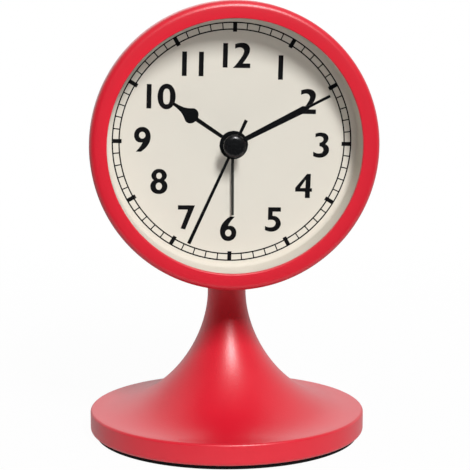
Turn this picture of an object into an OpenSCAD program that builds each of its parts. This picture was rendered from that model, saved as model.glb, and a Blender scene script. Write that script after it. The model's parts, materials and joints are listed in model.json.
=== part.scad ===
// Alarm clock on a trumpet-shaped pedestal, with a quartz movement and an alarm.
// Millimetres, +Z up. The dial faces -Y and the origin is on the table under the stem axis.

/* [Case] */
// Outside diameter of the head
head_d = 99.6; // [99:0.1:112]
// Height of the dial axis above the table
head_z = 109.2; // [104:0.1:130]
// Stem axis to the front plane of the bezel lip
lip_front = 33.5; // [32:0.1:36]
// Width of the bezel's front ring
ring_w = 5.75; // [5:0.05:7]
// Thickness of the lip over the lens
lip_t = 1.6; // [1.2:0.1:2]
// Radius of the bezel's front outer edge
bezel_round = 1.5; // [1:0.1:2.5]
// Length of the bezel from lip to parting line
bezel_len = 21.5; // [19.5:0.5:22.5]
// Wall of the bezel and of the bowl
case_wall = 2; // [1.6:0.1:2.4]
// Lip plane to the widest line, where the case starts to draw in
draw_start = 6.5; // [5.5:0.5:9]
// Slope at which the case starts to draw in
case_taper = 0.09; // [0.06:0.01:0.11]
// How far the case draws in from its widest line to the back
bowl_draw = 5.8; // [4.8:0.1:6]
// Length of the bowl's thick band behind the parting line
bowl_band = 2; // [0.5:0.5:4]

/* [Lens and dial] */
// Thickness of the lens
lens_t = 1.6; // [1.2:0.1:2]
// Rise of the domed lens over its edge
lens_rise = 2.6; // [2:0.1:4]
// Width of the lens edge held behind the lip
lens_edge = 2.1; // [1.5:0.1:2.3]
// Lip plane to the dial face
dial_recess = 14; // [13.5:0.1:15]
// Sheet thickness of the dial
dial_t = 0.8; // [0.5:0.1:1]
// How far the dial's wall slopes in from the sight opening
dial_slope = 1.75; // [1:0.05:3]
// Thickness of the carrier behind the dial
carrier_t = 1.8; // [1.5:0.1:2.5]

/* [Hands] */
// Minute hand angle, clockwise from 12
minute_angle = 63.6; // [0:0.1:360]
// Hour hand angle, clockwise from 12
hour_angle = 304.8; // [0:0.1:360]
// Second hand angle, clockwise from 12
second_angle = 205.1; // [0:0.1:360]
// Alarm hand angle, clockwise from 12
alarm_angle = 180; // [0:0.1:360]
// Minute hand length
minute_len = 37.2; // [30:0.1:39]
// Hour hand length
hour_len = 25.4; // [22:0.1:30]
// Second hand length
second_len = 37.3; // [28:0.1:39]
// Second hand tail
second_tail = 9.7; // [6:0.1:14]
// Alarm hand length
alarm_len = 25.1; // [18:0.1:30]
// Greatest width of the minute hand
minute_w = 2.2; // [1.6:0.1:3.5]
// Width of the minute hand at its root
minute_root_w = 1.4; // [1:0.1:1.6]
// Width of the minute hand's tip
minute_tip_w = 0.85; // [0.5:0.05:1.2]
// Dial axis to the minute hand's shoulder
minute_shoulder = 27.2; // [22:0.1:28]
// Width of the hour hand's stick
hour_w = 1.25; // [1:0.05:2]
// Dial axis to the centre of the hour hand's round
hour_round_at = 17.5; // [14:0.1:19]
// Radius of the hour hand's round
hour_round = 2.3; // [1.8:0.05:3.5]
// Width of the second hand
second_w = 0.95; // [0.6:0.05:1.4]
// Width of the alarm hand
alarm_w = 1; // [0.6:0.05:1.6]
// Radius of the minute hand's boss
boss_r = 4.9; // [4:0.1:6]
// Radius of the centre cap
cap_r = 3.9; // [2.5:0.1:5]
// Sheet thickness of the hands
hand_t = 0.5; // [0.3:0.05:0.6]
// Step from one hand up to the next
hand_step = 2.1; // [2:0.05:2.2]

/* [Pedestal] */
// Step from the head's outline in to the base rim
rim_step = 0.1; // [0:0.1:5]
// Height of the rim's top edge
rim_top = 9.4; // [8.5:0.1:12]
// Radius of the rim's top edge
rim_round = 0.9; // [0.4:0.1:1.5]
// Radius under the rim
rim_under = 2.2; // [1:0.1:3]
// Diameter of the neck
neck_d = 13.7; // [13:0.1:18]
// Height where the neck starts to flare
flare_top = 52.7; // [46:0.1:54]
// Width of the rim's flat edge outside the flare
rim_edge = 2.9; // [2.5:0.1:6]
// Fullness of the flare's curve
flare_power = 1.84; // [1.7:0.01:2]
// Thickness of the flare's wall
flare_wall = 2.6; // [2:0.1:3]
// Height of the hollow inside the flare
hollow_top = 30; // [24:0.5:32]

/* [Base] */
// Thickness of the foot pad
pad_t = 1.5; // [1:0.1:2]
// Step from the rim in to the pad
pad_inset = 2; // [0.5:0.1:3]
// Thickness of the base plate
plate_t = 2; // [1.8:0.1:2.5]
// Step from the rim in to the base plate
plate_step = 3.4; // [3:0.1:5]
// Gap between the ballast and the screw bosses
ballast_gap = 1; // [0.8:0.1:8]
// Height of the ballast
ballast_h = 7; // [4:0.1:7.5]
// Number of base screws
base_screw_n = 3; // [3:1:6]
// Step from the plate's edge in to the base screws
base_screw_in = 4.3; // [3.8:0.1:4.8]

/* [Movement] */
// Dial axis to the top of the movement
mov_up = 25; // [24.5:0.5:28]
// Wall of the movement's shell
mov_wall = 1.5; // [1.2:0.1:1.8]
// Thickness of a motion wheel
wheel_t = 1.2; // [0.8:0.1:1.3]
// Gap between layers of wheels
layer_gap = 0.8; // [0.6:0.05:0.9]
// Depth of the motor space behind the fifth wheel
motor_depth = 3.8; // [3.6:0.1:4.5]

/* [Battery] */
// Diameter of the cell
cell_d = 14.5; // [13.5:0.1:14.5]
// Length of the cell with its nub
cell_len = 50.5; // [44.5:0.1:50.5]
// Height of the cell's axis below the dial axis
cell_drop = 17; // [16.5:0.1:17.5]
// Room for a contact at each end of the cell
contact_room = 2.25; // [1.8:0.05:2.25]

/* [Gears] */
// Module of the motion work and of the alarm gears
motion_m = 0.4; // [0.38:0.01:0.41]
// Teeth of the cannon pinion
cannon_n = 15; // [14:1:16]
// Teeth of the minute wheel
minute_n = 45; // [44:1:46]
// Teeth of the minute wheel's pinion
minute_pinion_n = 12; // [11:1:13]
// Teeth of the hour wheel
hour_n = 48; // [46:1:50]
// Teeth of the alarm wheel
alarm_n = 48; // [46:1:50]
// Teeth of the alarm idler
idler_n = 30; // [28:1:32]
// Teeth of the two setting pinions
set_n = 12; // [11:1:13]
// Module of the third pinion and the centre wheel
train_m = 0.3; // [0.29:0.005:0.305]
// Teeth of the centre wheel
centre_n = 75; // [72:1:76]
// Teeth of the third wheel
third_n = 80; // [76:1:84]
// Teeth of the second and third pinions
train_pinion_n = 10; // [9:1:11]
// Module of the fifth pinion and the second wheel
second_m = 0.34; // [0.335:0.005:0.35]
// Teeth of the second wheel
second_n = 60; // [59:1:62]
// Teeth of the fifth wheel's pinion
fifth_pinion_n = 12; // [12:1:13]
// Module of the rotor pinion and the fifth wheel
rotor_m = 0.3; // [0.28:0.005:0.3]
// Teeth of the fifth wheel
fifth_n = 60; // [56:1:61]
// Teeth of the rotor pinion
rotor_pinion_n = 10; // [9:1:11]

/* [Controls] */
// Diameter of the setting knobs
knob_d = 12; // [9:0.1:14]
// Height of the setting knobs
knob_h = 5; // [3:0.1:8]
// Number of grooves round a knob
knob_grooves = 20; // [12:1:30]
// Travel of the alarm switch
switch_travel = 4; // [2:0.1:6]
// Height of the alarm switch above the dial axis
switch_up = 18; // [17.5:0.1:19]
// Radius of a sound hole
sound_hole_r = 0.9; // [0.5:0.1:1.2]

/* [Clearances] */
// Radial clearance of a turning fit
run_gap = 0.05; // [0.02:0.01:0.08]
// Gap beside a piece that slides or lifts out
slide_gap = 0.3; // [0.2:0.05:0.4]
// Gap round a piece that is dropped in
seat_gap = 0.1; // [0.05:0.05:0.15]
// Share of a tooth space left open
backlash = 0.2; // [0.15:0.01:0.25]

/* [Hidden] */
$fn = 96;

red = "#b5121b";
cream = "#f3ecd9";
black = "#1b1b1c";
steel = "#b9bcc0";
yellow_metal = "#c9a24b";
white_plastic = "#e9e7e0";
green_board = "#2f6b43";
eps = 0.01;
// How far a cutting shape runs past the face it cuts
over = 1;

// Levels in front of the movement, measured forward from the stem axis
head_r = head_d / 2;
sight_r = head_r - ring_w;
lens_front = lip_front - lip_t;
lens_back = lens_front - lens_t;
lens_r = sight_r + lens_edge;
dial_flat_r = sight_r - dial_slope;
dial_face = lip_front - dial_recess;
dial_back = dial_face - dial_t;
carrier_back = dial_back - carrier_t;

// Levels of the movement, from the carrier backward
mov_front = carrier_back;
front_in = mov_front - mov_wall;
plate_play = 0.4;
mov_corner = 3;
alarm_h = front_in - plate_play - wheel_t;
hour_h = alarm_h - layer_gap - wheel_t;
minute_h = hour_h - layer_gap - wheel_t;
middle_t = 1.2;
middle_play = 0.6;
middle_top = minute_h - middle_play;
middle_back = middle_top - middle_t;
thin_wheel_t = 1;
train_gap = 1.2;
centre_h = middle_back - middle_play - thin_wheel_t;
third_h = centre_h - train_gap - thin_wheel_t;
second_h = third_h - train_gap - thin_wheel_t;
fifth_h = second_h - train_gap - thin_wheel_t;
back_in = fifth_h - motor_depth;
back_out = back_in - mov_wall;
mesh_over = 0.2;

// Battery bay, behind the lower half of the movement
bay_gap = 0.3;
bay_wall = 1.2;
bay_front = second_h - middle_play;
bay_floor = bay_front - mov_wall;
bay_half = cell_d / 2 + bay_gap;
bay_top = bay_half + bay_wall - cell_drop;
mov_low = -bay_half - bay_wall - cell_drop;
cell_axis_h = bay_floor - bay_gap - cell_d / 2;
bay_in_x = cell_len / 2 + contact_room;
mov_x = bay_in_x + mov_wall;
mov_in_x = mov_x - mov_wall;
contact_t = 0.4;
post_r = 2.2;
post_gap = 0.4;
post_room = post_r + post_gap;
post_x = mov_in_x - post_room;
post_ys = [mov_low + mov_wall + post_room, mov_up - mov_wall - post_room];
posts = [for (x = [-post_x, post_x]) for (y = post_ys) [x, y]];
mov_screw_r = 1;
mov_head_r = 1.9;
mov_head_h = 1.1;
mov_thread = 6;
thread_end = 0.5;
slot_half = 1.3;
slot_w = 0.5;
slot_depth = 0.5;

// Back of the case, as deep as the movement and the cell need
back_r = head_r - bowl_draw;
cover_t = 1.8;
cover_in = cell_axis_h - bay_half;
cover_out = cover_in - cover_t;
bowl_back = -cover_out;
bezel_in_r = lens_r + seat_gap;
bezel_back = lip_front - bezel_len;
bowl_turn = bezel_back - bowl_band;
widest = lip_front - draw_start;
draw_run = widest + bowl_back;
case_bulge = (bowl_draw - case_taper * draw_run) / (draw_run * draw_run);
part_r = case_at(bezel_back);
part_chamfer = 0.4;
spigot_r = bezel_in_r - run_gap;
spigot_t = 1.8;
spigot_in_r = spigot_r - spigot_t;
ledge_t = 1.8;
ledge_w = 2.5;
cover_seat_r = back_r - case_wall;
cover_r = cover_seat_r - seat_gap;
opening_r = cover_seat_r - ledge_w;
ledge_in = cover_in + ledge_t;
cover_screw_dirs = [90, 200, 340];
cover_screw_in = 1;
cover_screw_r = opening_r - cover_screw_in;
cover_boss_r = 3;
cover_boss_h = 5.5;
cover_thread_r = 1.1;
cover_head_r = 2;
cover_head_h = 0.9;
cover_head_sink = 0.1;

// Shafts and tubes on the dial axis, from the inside out
second_r = 0.8;
cannon_wall = 0.95;
tube_wall = 0.55;
cannon_r = second_r + run_gap + cannon_wall;
hour_tube_r = cannon_r + run_gap + tube_wall;
alarm_tube_r = hour_tube_r + run_gap + tube_wall;
pivot_r = 0.45;
third_pivot = 1;
arbor_r = 0.7;
slim_arbor_r = 0.5;
set_arbor_r = 1.2;
dial_hole_gap = 0.4;
dial_hole_r = alarm_tube_r + dial_hole_gap;

// Hands above the dial
hand_lift = 1.3;
alarm_hand_h = dial_face + hand_lift;
hour_hand_h = alarm_hand_h + hand_step;
minute_hand_h = hour_hand_h + hand_step;
second_hand_h = minute_hand_h + hand_step;
collet_h = 1.1;
collet_wall = 0.6;
tube_over = 0.2;
cap_base = second_hand_h + hand_t;
cap_rise = 1.1;
cap_side = 1.2;
cap_grip = 0.8;
arbor_tip = cap_base + cap_grip;

// Gear centres on the dial plane, x to the right and y up as seen from the front
function polar(r, a) = r * [cos(a), sin(a)];
function centre_distance(n1, n2, m) = m * (n1 + n2) / 2;
minute_dir = 150;
time_set_dir = 115;
idler_dir = 31;
alarm_set_dir = 77;
third_dir = 235;
fifth_dir = 15;
rotor_dir = -20;
minute_c = centre_distance(cannon_n, minute_n, motion_m);
hour_m = 2 * minute_c / (minute_pinion_n + hour_n);
third_c = centre_distance(train_pinion_n, centre_n, train_m);
third_m = 2 * third_c / (train_pinion_n + third_n);
minute_at = polar(minute_c, minute_dir);
time_set_at = minute_at + polar(centre_distance(minute_n, set_n, motion_m), time_set_dir);
idler_at = polar(centre_distance(alarm_n, idler_n, motion_m), idler_dir);
alarm_set_at = idler_at + polar(centre_distance(idler_n, set_n, motion_m), alarm_set_dir);
third_at = polar(third_c, third_dir);
fifth_at = polar(centre_distance(second_n, fifth_pinion_n, second_m), fifth_dir);
rotor_at = fifth_at + polar(centre_distance(fifth_n, rotor_pinion_n, rotor_m), rotor_dir);

// Tooth of gear 2 that fits a gap of gear 1, when gear 2 lies in direction dir from gear 1
function mesh_phase(dir, n1, phase1, n2) =
    dir + 180 - 360 / n2 * (0.5 - (dir - phase1) * n1 / 360);
minute_phase = mesh_phase(minute_dir, cannon_n, 0, minute_n);
hour_phase = mesh_phase(minute_dir + 180, minute_pinion_n, 0, hour_n);
time_set_phase = mesh_phase(time_set_dir, minute_n, minute_phase, set_n);
idler_phase = mesh_phase(idler_dir, alarm_n, 0, idler_n);
alarm_set_phase = mesh_phase(alarm_set_dir, idler_n, idler_phase, set_n);
third_phase = mesh_phase(third_dir, train_pinion_n, 0, third_n);
centre_phase = mesh_phase(third_dir + 180, train_pinion_n, 0, centre_n);
fifth_pinion_phase = mesh_phase(fifth_dir, second_n, 0, fifth_pinion_n);
rotor_phase = mesh_phase(rotor_dir, fifth_n, 0, rotor_pinion_n);

// Motor, beside the rotor
rotor_r = 3;
rotor_gap = 0.5;
magnet_over = 0.8;
magnet_gap = 0.6;
stator_t = 0.8;
stator_rim = 1.1;
stator_lift = 1.6;
stator_h = back_in + stator_lift;
coil_r = 2.7;
coil_gap = 0.3;
coil_room = 1.2;
coil_x = mov_in_x - coil_r - coil_gap;
coil_low = rotor_at.y + rotor_r + rotor_gap + stator_rim + coil_room;
coil_len = 11;
flange_t = 0.6;
bobbin_r = 1.9;
winding_gap = 0.2;
core_w = 3;
core_t = 0.8;
core_h = stator_h + stator_t;
core_over = 1.7;
coil_axis_h = core_h + core_t / 2;
stator_arm_x = coil_x - coil_r - coil_room;
stator_arm_w = 2.6;

// Sounder, board and controls
sounder_r = 8.6;
sounder_t = 3;
sounder_gap = 0.6;
sounder_port_r = 1.5;
sounder_at = [-mov_in_x + sounder_r + sounder_gap, bay_top + mov_wall + sounder_r + sounder_gap];
board_t = 1;
board_half = 11.5;
board_low = 12;
board_gap = 0.5;
board_top = mov_up - mov_wall - board_gap;
switch_neck = 3;
switch_neck_h = 2.6;
switch_half = 3;
switch_over = 1;
prong = 1.6;
door_room = 1;
door_half = cell_len / 2 + door_room;
door_step = 1.2;
door_t = 1;
knob_lift = 0.4;
knob_base = cover_out - knob_lift;
knob_hub_r = 2.5;
knob_face_t = 1.6;
arbor_end = knob_base - knob_h + knob_face_t;

// Pedestal and base
rim_r = head_r - rim_step;
flare_r = rim_r - rim_edge;
plate_r = rim_r - plate_step;
base_screw_r = plate_r - base_screw_in;
neck_r = neck_d / 2;
pad_r = rim_r - pad_inset;
stem_screw_r = 2.5;
stem_head_r = 4.2;
stem_head_h = 2.8;
hex_r = 2.3;
hex_floor = 1;
saddle_r = 7;
key_r = 1.2;
key_off = 4.4;
key_root = 4;
key_short = 0.4;
case_in_low = head_z - case_at(0) + case_wall;
saddle_low = head_z - case_at(saddle_r) + case_wall;
key_low = head_z - case_at(key_off);
saddle_h = 2.6;
saddle_top = case_in_low + saddle_h;
stem_bore_depth = 18;
stem_bore_low = head_z - head_r - stem_bore_depth;
base_screw_d = 2.8;
base_head_r = 2.6;
base_head_h = 1.1;
base_boss_r = 3.2;
ballast_r = base_screw_r - base_boss_r - ballast_gap;
base_boss_h = 4;
hollow_step = 0.6;
hollow_drop = 2;
plate_top = pad_t + plate_t;
boss_top = plate_top + base_boss_h;
boss_floor_t = 1;
boss_bore_top = boss_top - boss_floor_t;
ballast_bore = 8;
ballast_bevel_w = 8.3;
ballast_bevel_h = 3.85;
hollow_edge_r = flare_at(rim_top + hollow_step) - flare_wall / 2;

// Radius of the flare at height z, straight in the neck above it
function flare_at(z) =
    let (t = min(1, max(0, (flare_top - z) / (flare_top - rim_top))))
    neck_r + (flare_r - neck_r) * (1 - pow(1 - pow(t, flare_power), 1 / flare_power));
// Outside radius of the case at level h
function case_at(h) = let (d = max(0, widest - h)) head_r - case_taper * d - case_bulge * d * d;
function arc(c, r, a0, a1, n) = [for (i = [0:n]) c + polar(r, a0 + (a1 - a0) * i / n)];
function rounded(x0, y0, x1, y1, r, n = 5) = concat(
    arc([x1 - r, y1 - r], r, 0, 90, n), arc([x0 + r, y1 - r], r, 90, 180, n),
    arc([x0 + r, y0 + r], r, 180, 270, n), arc([x1 - r, y0 + r], r, 270, 360, n));

// Local frame of the head: x to the right, y up, z forward out of the dial
module at_head() {
    translate([0, 0, head_z]) rotate([90, 0, 0]) children();
}

module at_axis(p) {
    at_head() translate([p.x, p.y, 0]) children();
}

module rod(r, h0, h1) {
    translate([0, 0, h0]) cylinder(h = h1 - h0, r = r);
}

module tube(r, bore, h0, h1) {
    difference() {
        rod(r, h0, h1);
        rod(bore, h0 - over, h1 + over);
    }
}

module slab(points, h0, h1) {
    translate([0, 0, h0]) linear_extrude(h1 - h0) polygon(points);
}

module block(x0, y0, x1, y1, h0, h1) {
    translate([x0, y0, h0]) cube([x1 - x0, y1 - y0, h1 - h0]);
}

// Involute gear: half the tooth's angle at radius r, with radial flanks under the base circle
pressure_a = 20;
addendum = 0.8;
dedendum = 1.15;
function involute(a) = tan(a) * 180 / PI - a;
function half_tooth(n, m, r) =
    let (base = m * n / 2 * cos(pressure_a), a = r > base ? acos(base / r) : 0)
    90 / n * (1 - backlash) + involute(pressure_a) - involute(a);
function tooth(n, m) =
    let (p = m * n / 2, radii = [p - dedendum * m, p, p + addendum * m])
    concat([for (r = radii) [r, -half_tooth(n, m, r)]],
        [for (i = [2:-1:0]) [radii[i], half_tooth(n, m, radii[i])]]);

module gear(n, m, h, t, phase = 0) {
    one = tooth(n, m);
    slab([for (k = [0:n - 1]) for (p = one) polar(p[0], phase + p[1] + 360 * k / n)], h, h + t);
}

module pinion(n, m, h, t, phase = 0) {
    gear(n, m, h - mesh_over, t + 2 * mesh_over, phase);
}

// Arbor with a shoulder short of each plate and a pivot in it
module arbor(r, back, front, back_depth, front_depth) {
    rod(r, back + run_gap, front - run_gap);
    rod(pivot_r, back - back_depth, front + front_depth);
}

module pivot_hole(p, h0, h1) {
    translate([p.x, p.y, 0]) rod(pivot_r + run_gap, h0, h1);
}

module screw(r, head_radius, h_tip, h_head, head_height) {
    rod(r, h_tip, h_head);
    rod(head_radius, h_head, h_head + head_height);
}

// Stand

module pedestal_outline() {
    polygon(concat(
        [[0, pad_t]],
        arc([rim_r - rim_under, pad_t + rim_under], rim_under, -90, 0, 6),
        arc([rim_r - rim_round, rim_top - rim_round], rim_round, 0, 90, 5),
        [for (i = [0:30]) let (z = rim_top + (flare_top - rim_top) * pow(i / 30, 1.6)) [flare_at(z), z]],
        [[neck_r, head_z - back_r + over], [0, head_z - back_r + over]]));
}

module pedestal_hollow() {
    low = rim_top - hollow_drop;
    polygon(concat(
        [[0, pad_t], [hollow_edge_r, pad_t]],
        [for (i = [0:20]) let (z = low + (hollow_top - low) * pow(i / 20, 1.4))
            [min(flare_at(z + flare_wall), hollow_edge_r), z]],
        [[0, hollow_top]]));
}

module bowl_solid() {
    polygon(concat(
        [[0, bezel_back]],
        [for (i = [0:16]) let (h = bezel_back - (bezel_back + bowl_back) * i / 16) [case_at(h), h]],
        [[0, -bowl_back]]));
}

module bowl_hollow() {
    polygon(concat(
        [[0, bowl_turn]],
        [for (i = [0:16]) let (h = bowl_turn + (ledge_in - bowl_turn) * i / 16) [case_at(h) - case_wall, h]],
        [[0, ledge_in]]));
}

module base_bosses(r, z0, z1) {
    for (i = [0:base_screw_n - 1]) rotate(90 + 360 * i / base_screw_n)
        translate([base_screw_r, 0, z0]) cylinder(h = z1 - z0, r = r);
}

module pedestal() {
    color(red) difference() {
        union() {
            difference() {
                rotate_extrude() pedestal_outline();
                rotate_extrude() pedestal_hollow();
                at_head() rotate_extrude() bowl_solid();
            }
            base_bosses(base_boss_r, plate_top - over, boss_top);
            translate([0, -key_off, 0])
                rod(key_r, key_low - key_root, key_low + case_wall - key_short);
        }
        rod(plate_r + seat_gap, pad_t - over, plate_top);
        rod(stem_screw_r, stem_bore_low, head_z);
        base_bosses(base_screw_d / 2, plate_top - over, boss_bore_top);
    }
}

module ballast_weight() {
    top = plate_top + ballast_h;
    color("#55585c") rotate_extrude() polygon([[ballast_bore, plate_top], [ballast_r, plate_top],
        [ballast_r, top - ballast_bevel_h], [ballast_r - ballast_bevel_w, top], [ballast_bore, top]]);
}

module base_plate() {
    color(black) difference() {
        translate([0, 0, pad_t]) cylinder(h = plate_t, r = plate_r);
        base_bosses(base_screw_d / 2 + seat_gap, 0, plate_top + over);
        base_bosses(base_head_r + seat_gap, 0, pad_t + base_head_h);
    }
}

module base_screws() {
    color(steel) union() {
        base_bosses(base_screw_d / 2, pad_t + base_head_h, boss_bore_top - seat_gap);
        base_bosses(base_head_r, pad_t, pad_t + base_head_h);
    }
}

module foot_pad() {
    color(black) cylinder(h = pad_t, r = pad_r);
}

module stem_screw() {
    color(steel) difference() {
        screw(stem_screw_r, stem_head_r, stem_bore_low + thread_end, saddle_top, stem_head_h);
        translate([0, 0, saddle_top + hex_floor]) cylinder(h = stem_head_h, r = hex_r, $fn = 6);
    }
}

module stem_saddle() {
    color(steel) difference() {
        intersection() {
            rod(saddle_r, saddle_low - over, saddle_top);
            at_head() rotate_extrude() bowl_hollow();
        }
        rod(stem_screw_r + seat_gap, saddle_low - 2 * over, saddle_top + over);
    }
}

// Case

module bezel() {
    lip_break = 0.3;
    ring_fall = 0.2;
    color(red) at_head() rotate_extrude() polygon(concat(
        [[sight_r, lens_front], [sight_r, lip_front - lip_break], [sight_r + lip_break, lip_front]],
        arc([head_r - bezel_round, lip_front - ring_fall - bezel_round], bezel_round, 90, 0, 8),
        [for (i = [0:8]) let (h = widest - (widest - bezel_back - part_chamfer) * i / 8) [case_at(h), h]],
        [[part_r - part_chamfer, bezel_back], [bezel_in_r, bezel_back], [bezel_in_r, lens_front]]));
}

module lens() {
    dome_r = (sight_r * sight_r + lens_rise * lens_rise) / (2 * lens_rise);
    dome_a = asin(sight_r / dome_r);
    color("#dfe9ee", 0.35) at_head() rotate_extrude() polygon(concat(
        arc([0, lens_back + lens_rise - dome_r], dome_r, 90, 90 - dome_a, 16),
        [[lens_r, lens_back], [lens_r, lens_front]],
        arc([0, lens_front + lens_rise - dome_r], dome_r, 90 - dome_a, 90, 16)));
}

module dial() {
    fillet = 1.7;
    lap = 0.6;
    top_r = sight_r + lap;
    steep = 74;
    wall = arc([dial_flat_r, dial_face + fillet], fillet, -90, steep - 90, 6);
    color(cream) at_head() rotate_extrude() polygon(concat(
        [[dial_hole_r, dial_back], [dial_hole_r, dial_face]], wall,
        [[top_r, lens_back], [lens_r, lens_back], [lens_r, lens_back - dial_t],
            [top_r + dial_t, lens_back - dial_t]],
        [for (i = [len(wall) - 1:-1:0]) wall[i] + polar(dial_t, steep * i / (len(wall) - 1) - 90)]));
}

module movement_carrier() {
    window_r = 3.5;
    window_in = 3.75;
    color(black) at_head() difference() {
        rod(spigot_r, carrier_back, dial_back);
        rod(dial_hole_r, 0, lip_front);
        for (p = posts) translate([p.x, p.y, 0]) {
            rod(mov_screw_r + seat_gap, 0, lip_front);
            rod(mov_head_r + seat_gap, dial_back - mov_head_h, lip_front);
        }
        for (a = [0:30:330]) translate(polar(spigot_in_r - window_in, a)) rod(window_r, 0, lip_front);
    }
}

module case_bowl() {
    color(red) difference() {
        union() {
            at_head() rotate_extrude() difference() {
                union() {
                    bowl_solid();
                    translate([0, bezel_back - over])
                        square([spigot_r, carrier_back - bezel_back + over]);
                }
                polygon([[part_r - part_chamfer, bezel_back], [part_r + over, bezel_back + over],
                    [part_r + over, bezel_back - part_chamfer - over]]);
                bowl_hollow();
                translate([-over, bowl_turn - over]) square([spigot_in_r + over, carrier_back]);
                translate([-over, -bowl_back - over]) square([cover_seat_r + over, cover_t + over]);
                translate([-over, -bowl_back]) square([opening_r + over, bowl_back]);
            }
            at_head() for (a = cover_screw_dirs) translate(polar(cover_screw_r, a))
                rod(cover_boss_r, cover_in, cover_in + cover_boss_h);
        }
        rod(stem_screw_r + seat_gap, 0, head_z);
        translate([0, -key_off, 0]) rod(key_r + seat_gap, 0, head_z);
        at_head() for (a = cover_screw_dirs) translate(polar(cover_screw_r, a))
            rod(cover_thread_r, cover_in - over, cover_in + cover_boss_h - boss_floor_t);
    }
}

module back_cover() {
    color(black) at_head() difference() {
        rod(cover_r, cover_out, cover_in);
        for (p = [time_set_at, alarm_set_at]) translate([p.x, p.y, 0])
            rod(knob_hub_r + slide_gap, cover_out - over, cover_in + over);
        switch_slot(switch_neck, switch_neck_h, cover_out - over, cover_in + over);
        block(-door_half, -cell_drop - bay_half, door_half, -cell_drop + bay_half,
            cover_out - over, cover_in + over);
        block(-door_half - door_step, -cell_drop - bay_half - door_step, door_half + door_step,
            -cell_drop + bay_half + door_step, cover_out - over, cover_out + door_t);
        sound_holes(sound_hole_r, cover_out - over, cover_in + over);
        for (a = cover_screw_dirs) translate(polar(cover_screw_r, a)) {
            rod(cover_thread_r + seat_gap, cover_out - over, cover_in + over);
            rod(cover_head_r + seat_gap, cover_out - over, cover_out + cover_head_h);
        }
    }
}

module switch_slot(w, h, h0, h1) {
    block(-(w + switch_travel) / 2 - slide_gap, switch_up - h / 2 - slide_gap,
        (w + switch_travel) / 2 + slide_gap, switch_up + h / 2 + slide_gap, h0, h1);
}

module sound_holes(r, h0, h1) {
    pitch = 3.4;
    translate([sounder_at.x, sounder_at.y, 0]) {
        rod(r, h0, h1);
        for (ring = [1:2]) for (a = [0:60 / ring:359]) translate(polar(pitch * ring, a)) rod(r, h0, h1);
    }
}

module back_cover_screws() {
    color(steel) at_head() for (a = cover_screw_dirs) translate(polar(cover_screw_r, a))
        difference() {
            union() {
                rod(cover_thread_r, cover_out + cover_head_h,
                    cover_in + cover_boss_h - boss_floor_t - seat_gap);
                rod(cover_head_r, cover_out + cover_head_sink, cover_out + cover_head_h);
            }
            for (a = [0, 90]) rotate(a) block(-slot_half, -slot_w / 2, slot_half, slot_w / 2,
                cover_out, cover_out + cover_head_sink + slot_depth);
        }
}

module battery_door() {
    rib = 0.6;
    rib_half = 5;
    rib_pitch = 1.6;
    rib_w = 0.8;
    x = door_half + door_step - slide_gap;
    y = bay_half + door_step - slide_gap;
    color(black) at_head() union() {
        block(-x, -cell_drop - y, x, -cell_drop + y, cover_out, cover_out + door_t);
        for (i = [-2:2]) let (y = rib_pitch * i - cell_drop)
            block(-rib_half, y - rib_w / 2, rib_half, y + rib_w / 2, cover_out - rib, cover_out);
    }
}

// Shell of the movement

function full_outline(inset) =
    rounded(-mov_x + inset, mov_low + inset, mov_x - inset, mov_up - inset, mov_corner - inset / 2);

module front_plate() {
    color(white_plastic) at_head() difference() {
        union() {
            slab(full_outline(0), front_in, mov_front);
            for (p = posts) translate([p.x, p.y, 0]) rod(post_r, middle_top, front_in + eps);
        }
        rod(alarm_tube_r + run_gap, 0, lip_front);
        for (p = posts) translate([p.x, p.y, 0]) rod(mov_screw_r + seat_gap, 0, lip_front);
        for (p = [minute_at, idler_at, time_set_at, alarm_set_at]) pivot_hole(p, 0, lip_front);
    }
}

module middle_plate() {
    color(white_plastic) at_head() difference() {
        slab(full_outline(mov_wall + seat_gap), middle_back, middle_top);
        rod(cannon_r + run_gap, 0, lip_front);
        for (p = posts) translate([p.x, p.y, 0]) rod(mov_screw_r + seat_gap, 0, lip_front);
        for (p = [minute_at, idler_at, third_at, fifth_at, rotor_at]) pivot_hole(p, 0, lip_front);
        for (p = [time_set_at, alarm_set_at]) translate([p.x, p.y, 0])
            rod(set_arbor_r + run_gap, 0, lip_front);
    }
}

module movement_housing() {
    color(white_plastic) at_head() difference() {
        union() {
            difference() {
                union() {
                    slab(full_outline(0), bay_floor, front_in);
                    slab(rounded(-mov_x, bay_top, mov_x, mov_up, mov_corner), back_out, bay_front);
                    slab(rounded(-mov_x, mov_low, mov_x, bay_top + mov_wall, mov_corner),
                        cover_in + slide_gap, bay_front);
                }
                slab(full_outline(mov_wall), bay_front, front_in + over);
                slab(rounded(-mov_in_x, bay_top + mov_wall, mov_in_x, mov_up - mov_wall,
                    mov_corner - mov_wall / 2), back_in, bay_front + over);
                block(-bay_in_x, -cell_drop - bay_half, bay_in_x, -cell_drop + bay_half,
                    cover_in - over, bay_floor);
            }
            for (p = posts) translate([p.x, p.y, 0])
                rod(post_r, p.y < bay_top ? bay_floor : back_out, middle_back);
        }
        for (p = posts) translate([p.x, p.y, 0])
            rod(mov_screw_r, middle_back - mov_thread, middle_back + over);
        for (p = [[0, 0], fifth_at, rotor_at]) pivot_hole(p, back_out - over, back_in + over);
        pivot_hole(third_at, bay_front - third_pivot, bay_front + over);
        for (p = [time_set_at, alarm_set_at]) translate([p.x, p.y, 0])
            rod(set_arbor_r + run_gap, back_out - over, back_in + over);
        switch_slot(prong, prong, back_out - over, back_in + over);
        sound_holes(sound_hole_r, back_out - over, back_in + over);
    }
}

module movement_screws() {
    color(steel) at_head() for (p = posts) translate([p.x, p.y, 0]) difference() {
        screw(mov_screw_r, mov_head_r, middle_back - mov_thread + thread_end,
            dial_back - mov_head_h, mov_head_h);
        block(-slot_half, -slot_w / 2, slot_half, slot_w / 2, dial_back - slot_depth, dial_back + over);
    }
}

// Battery and electrics

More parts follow.
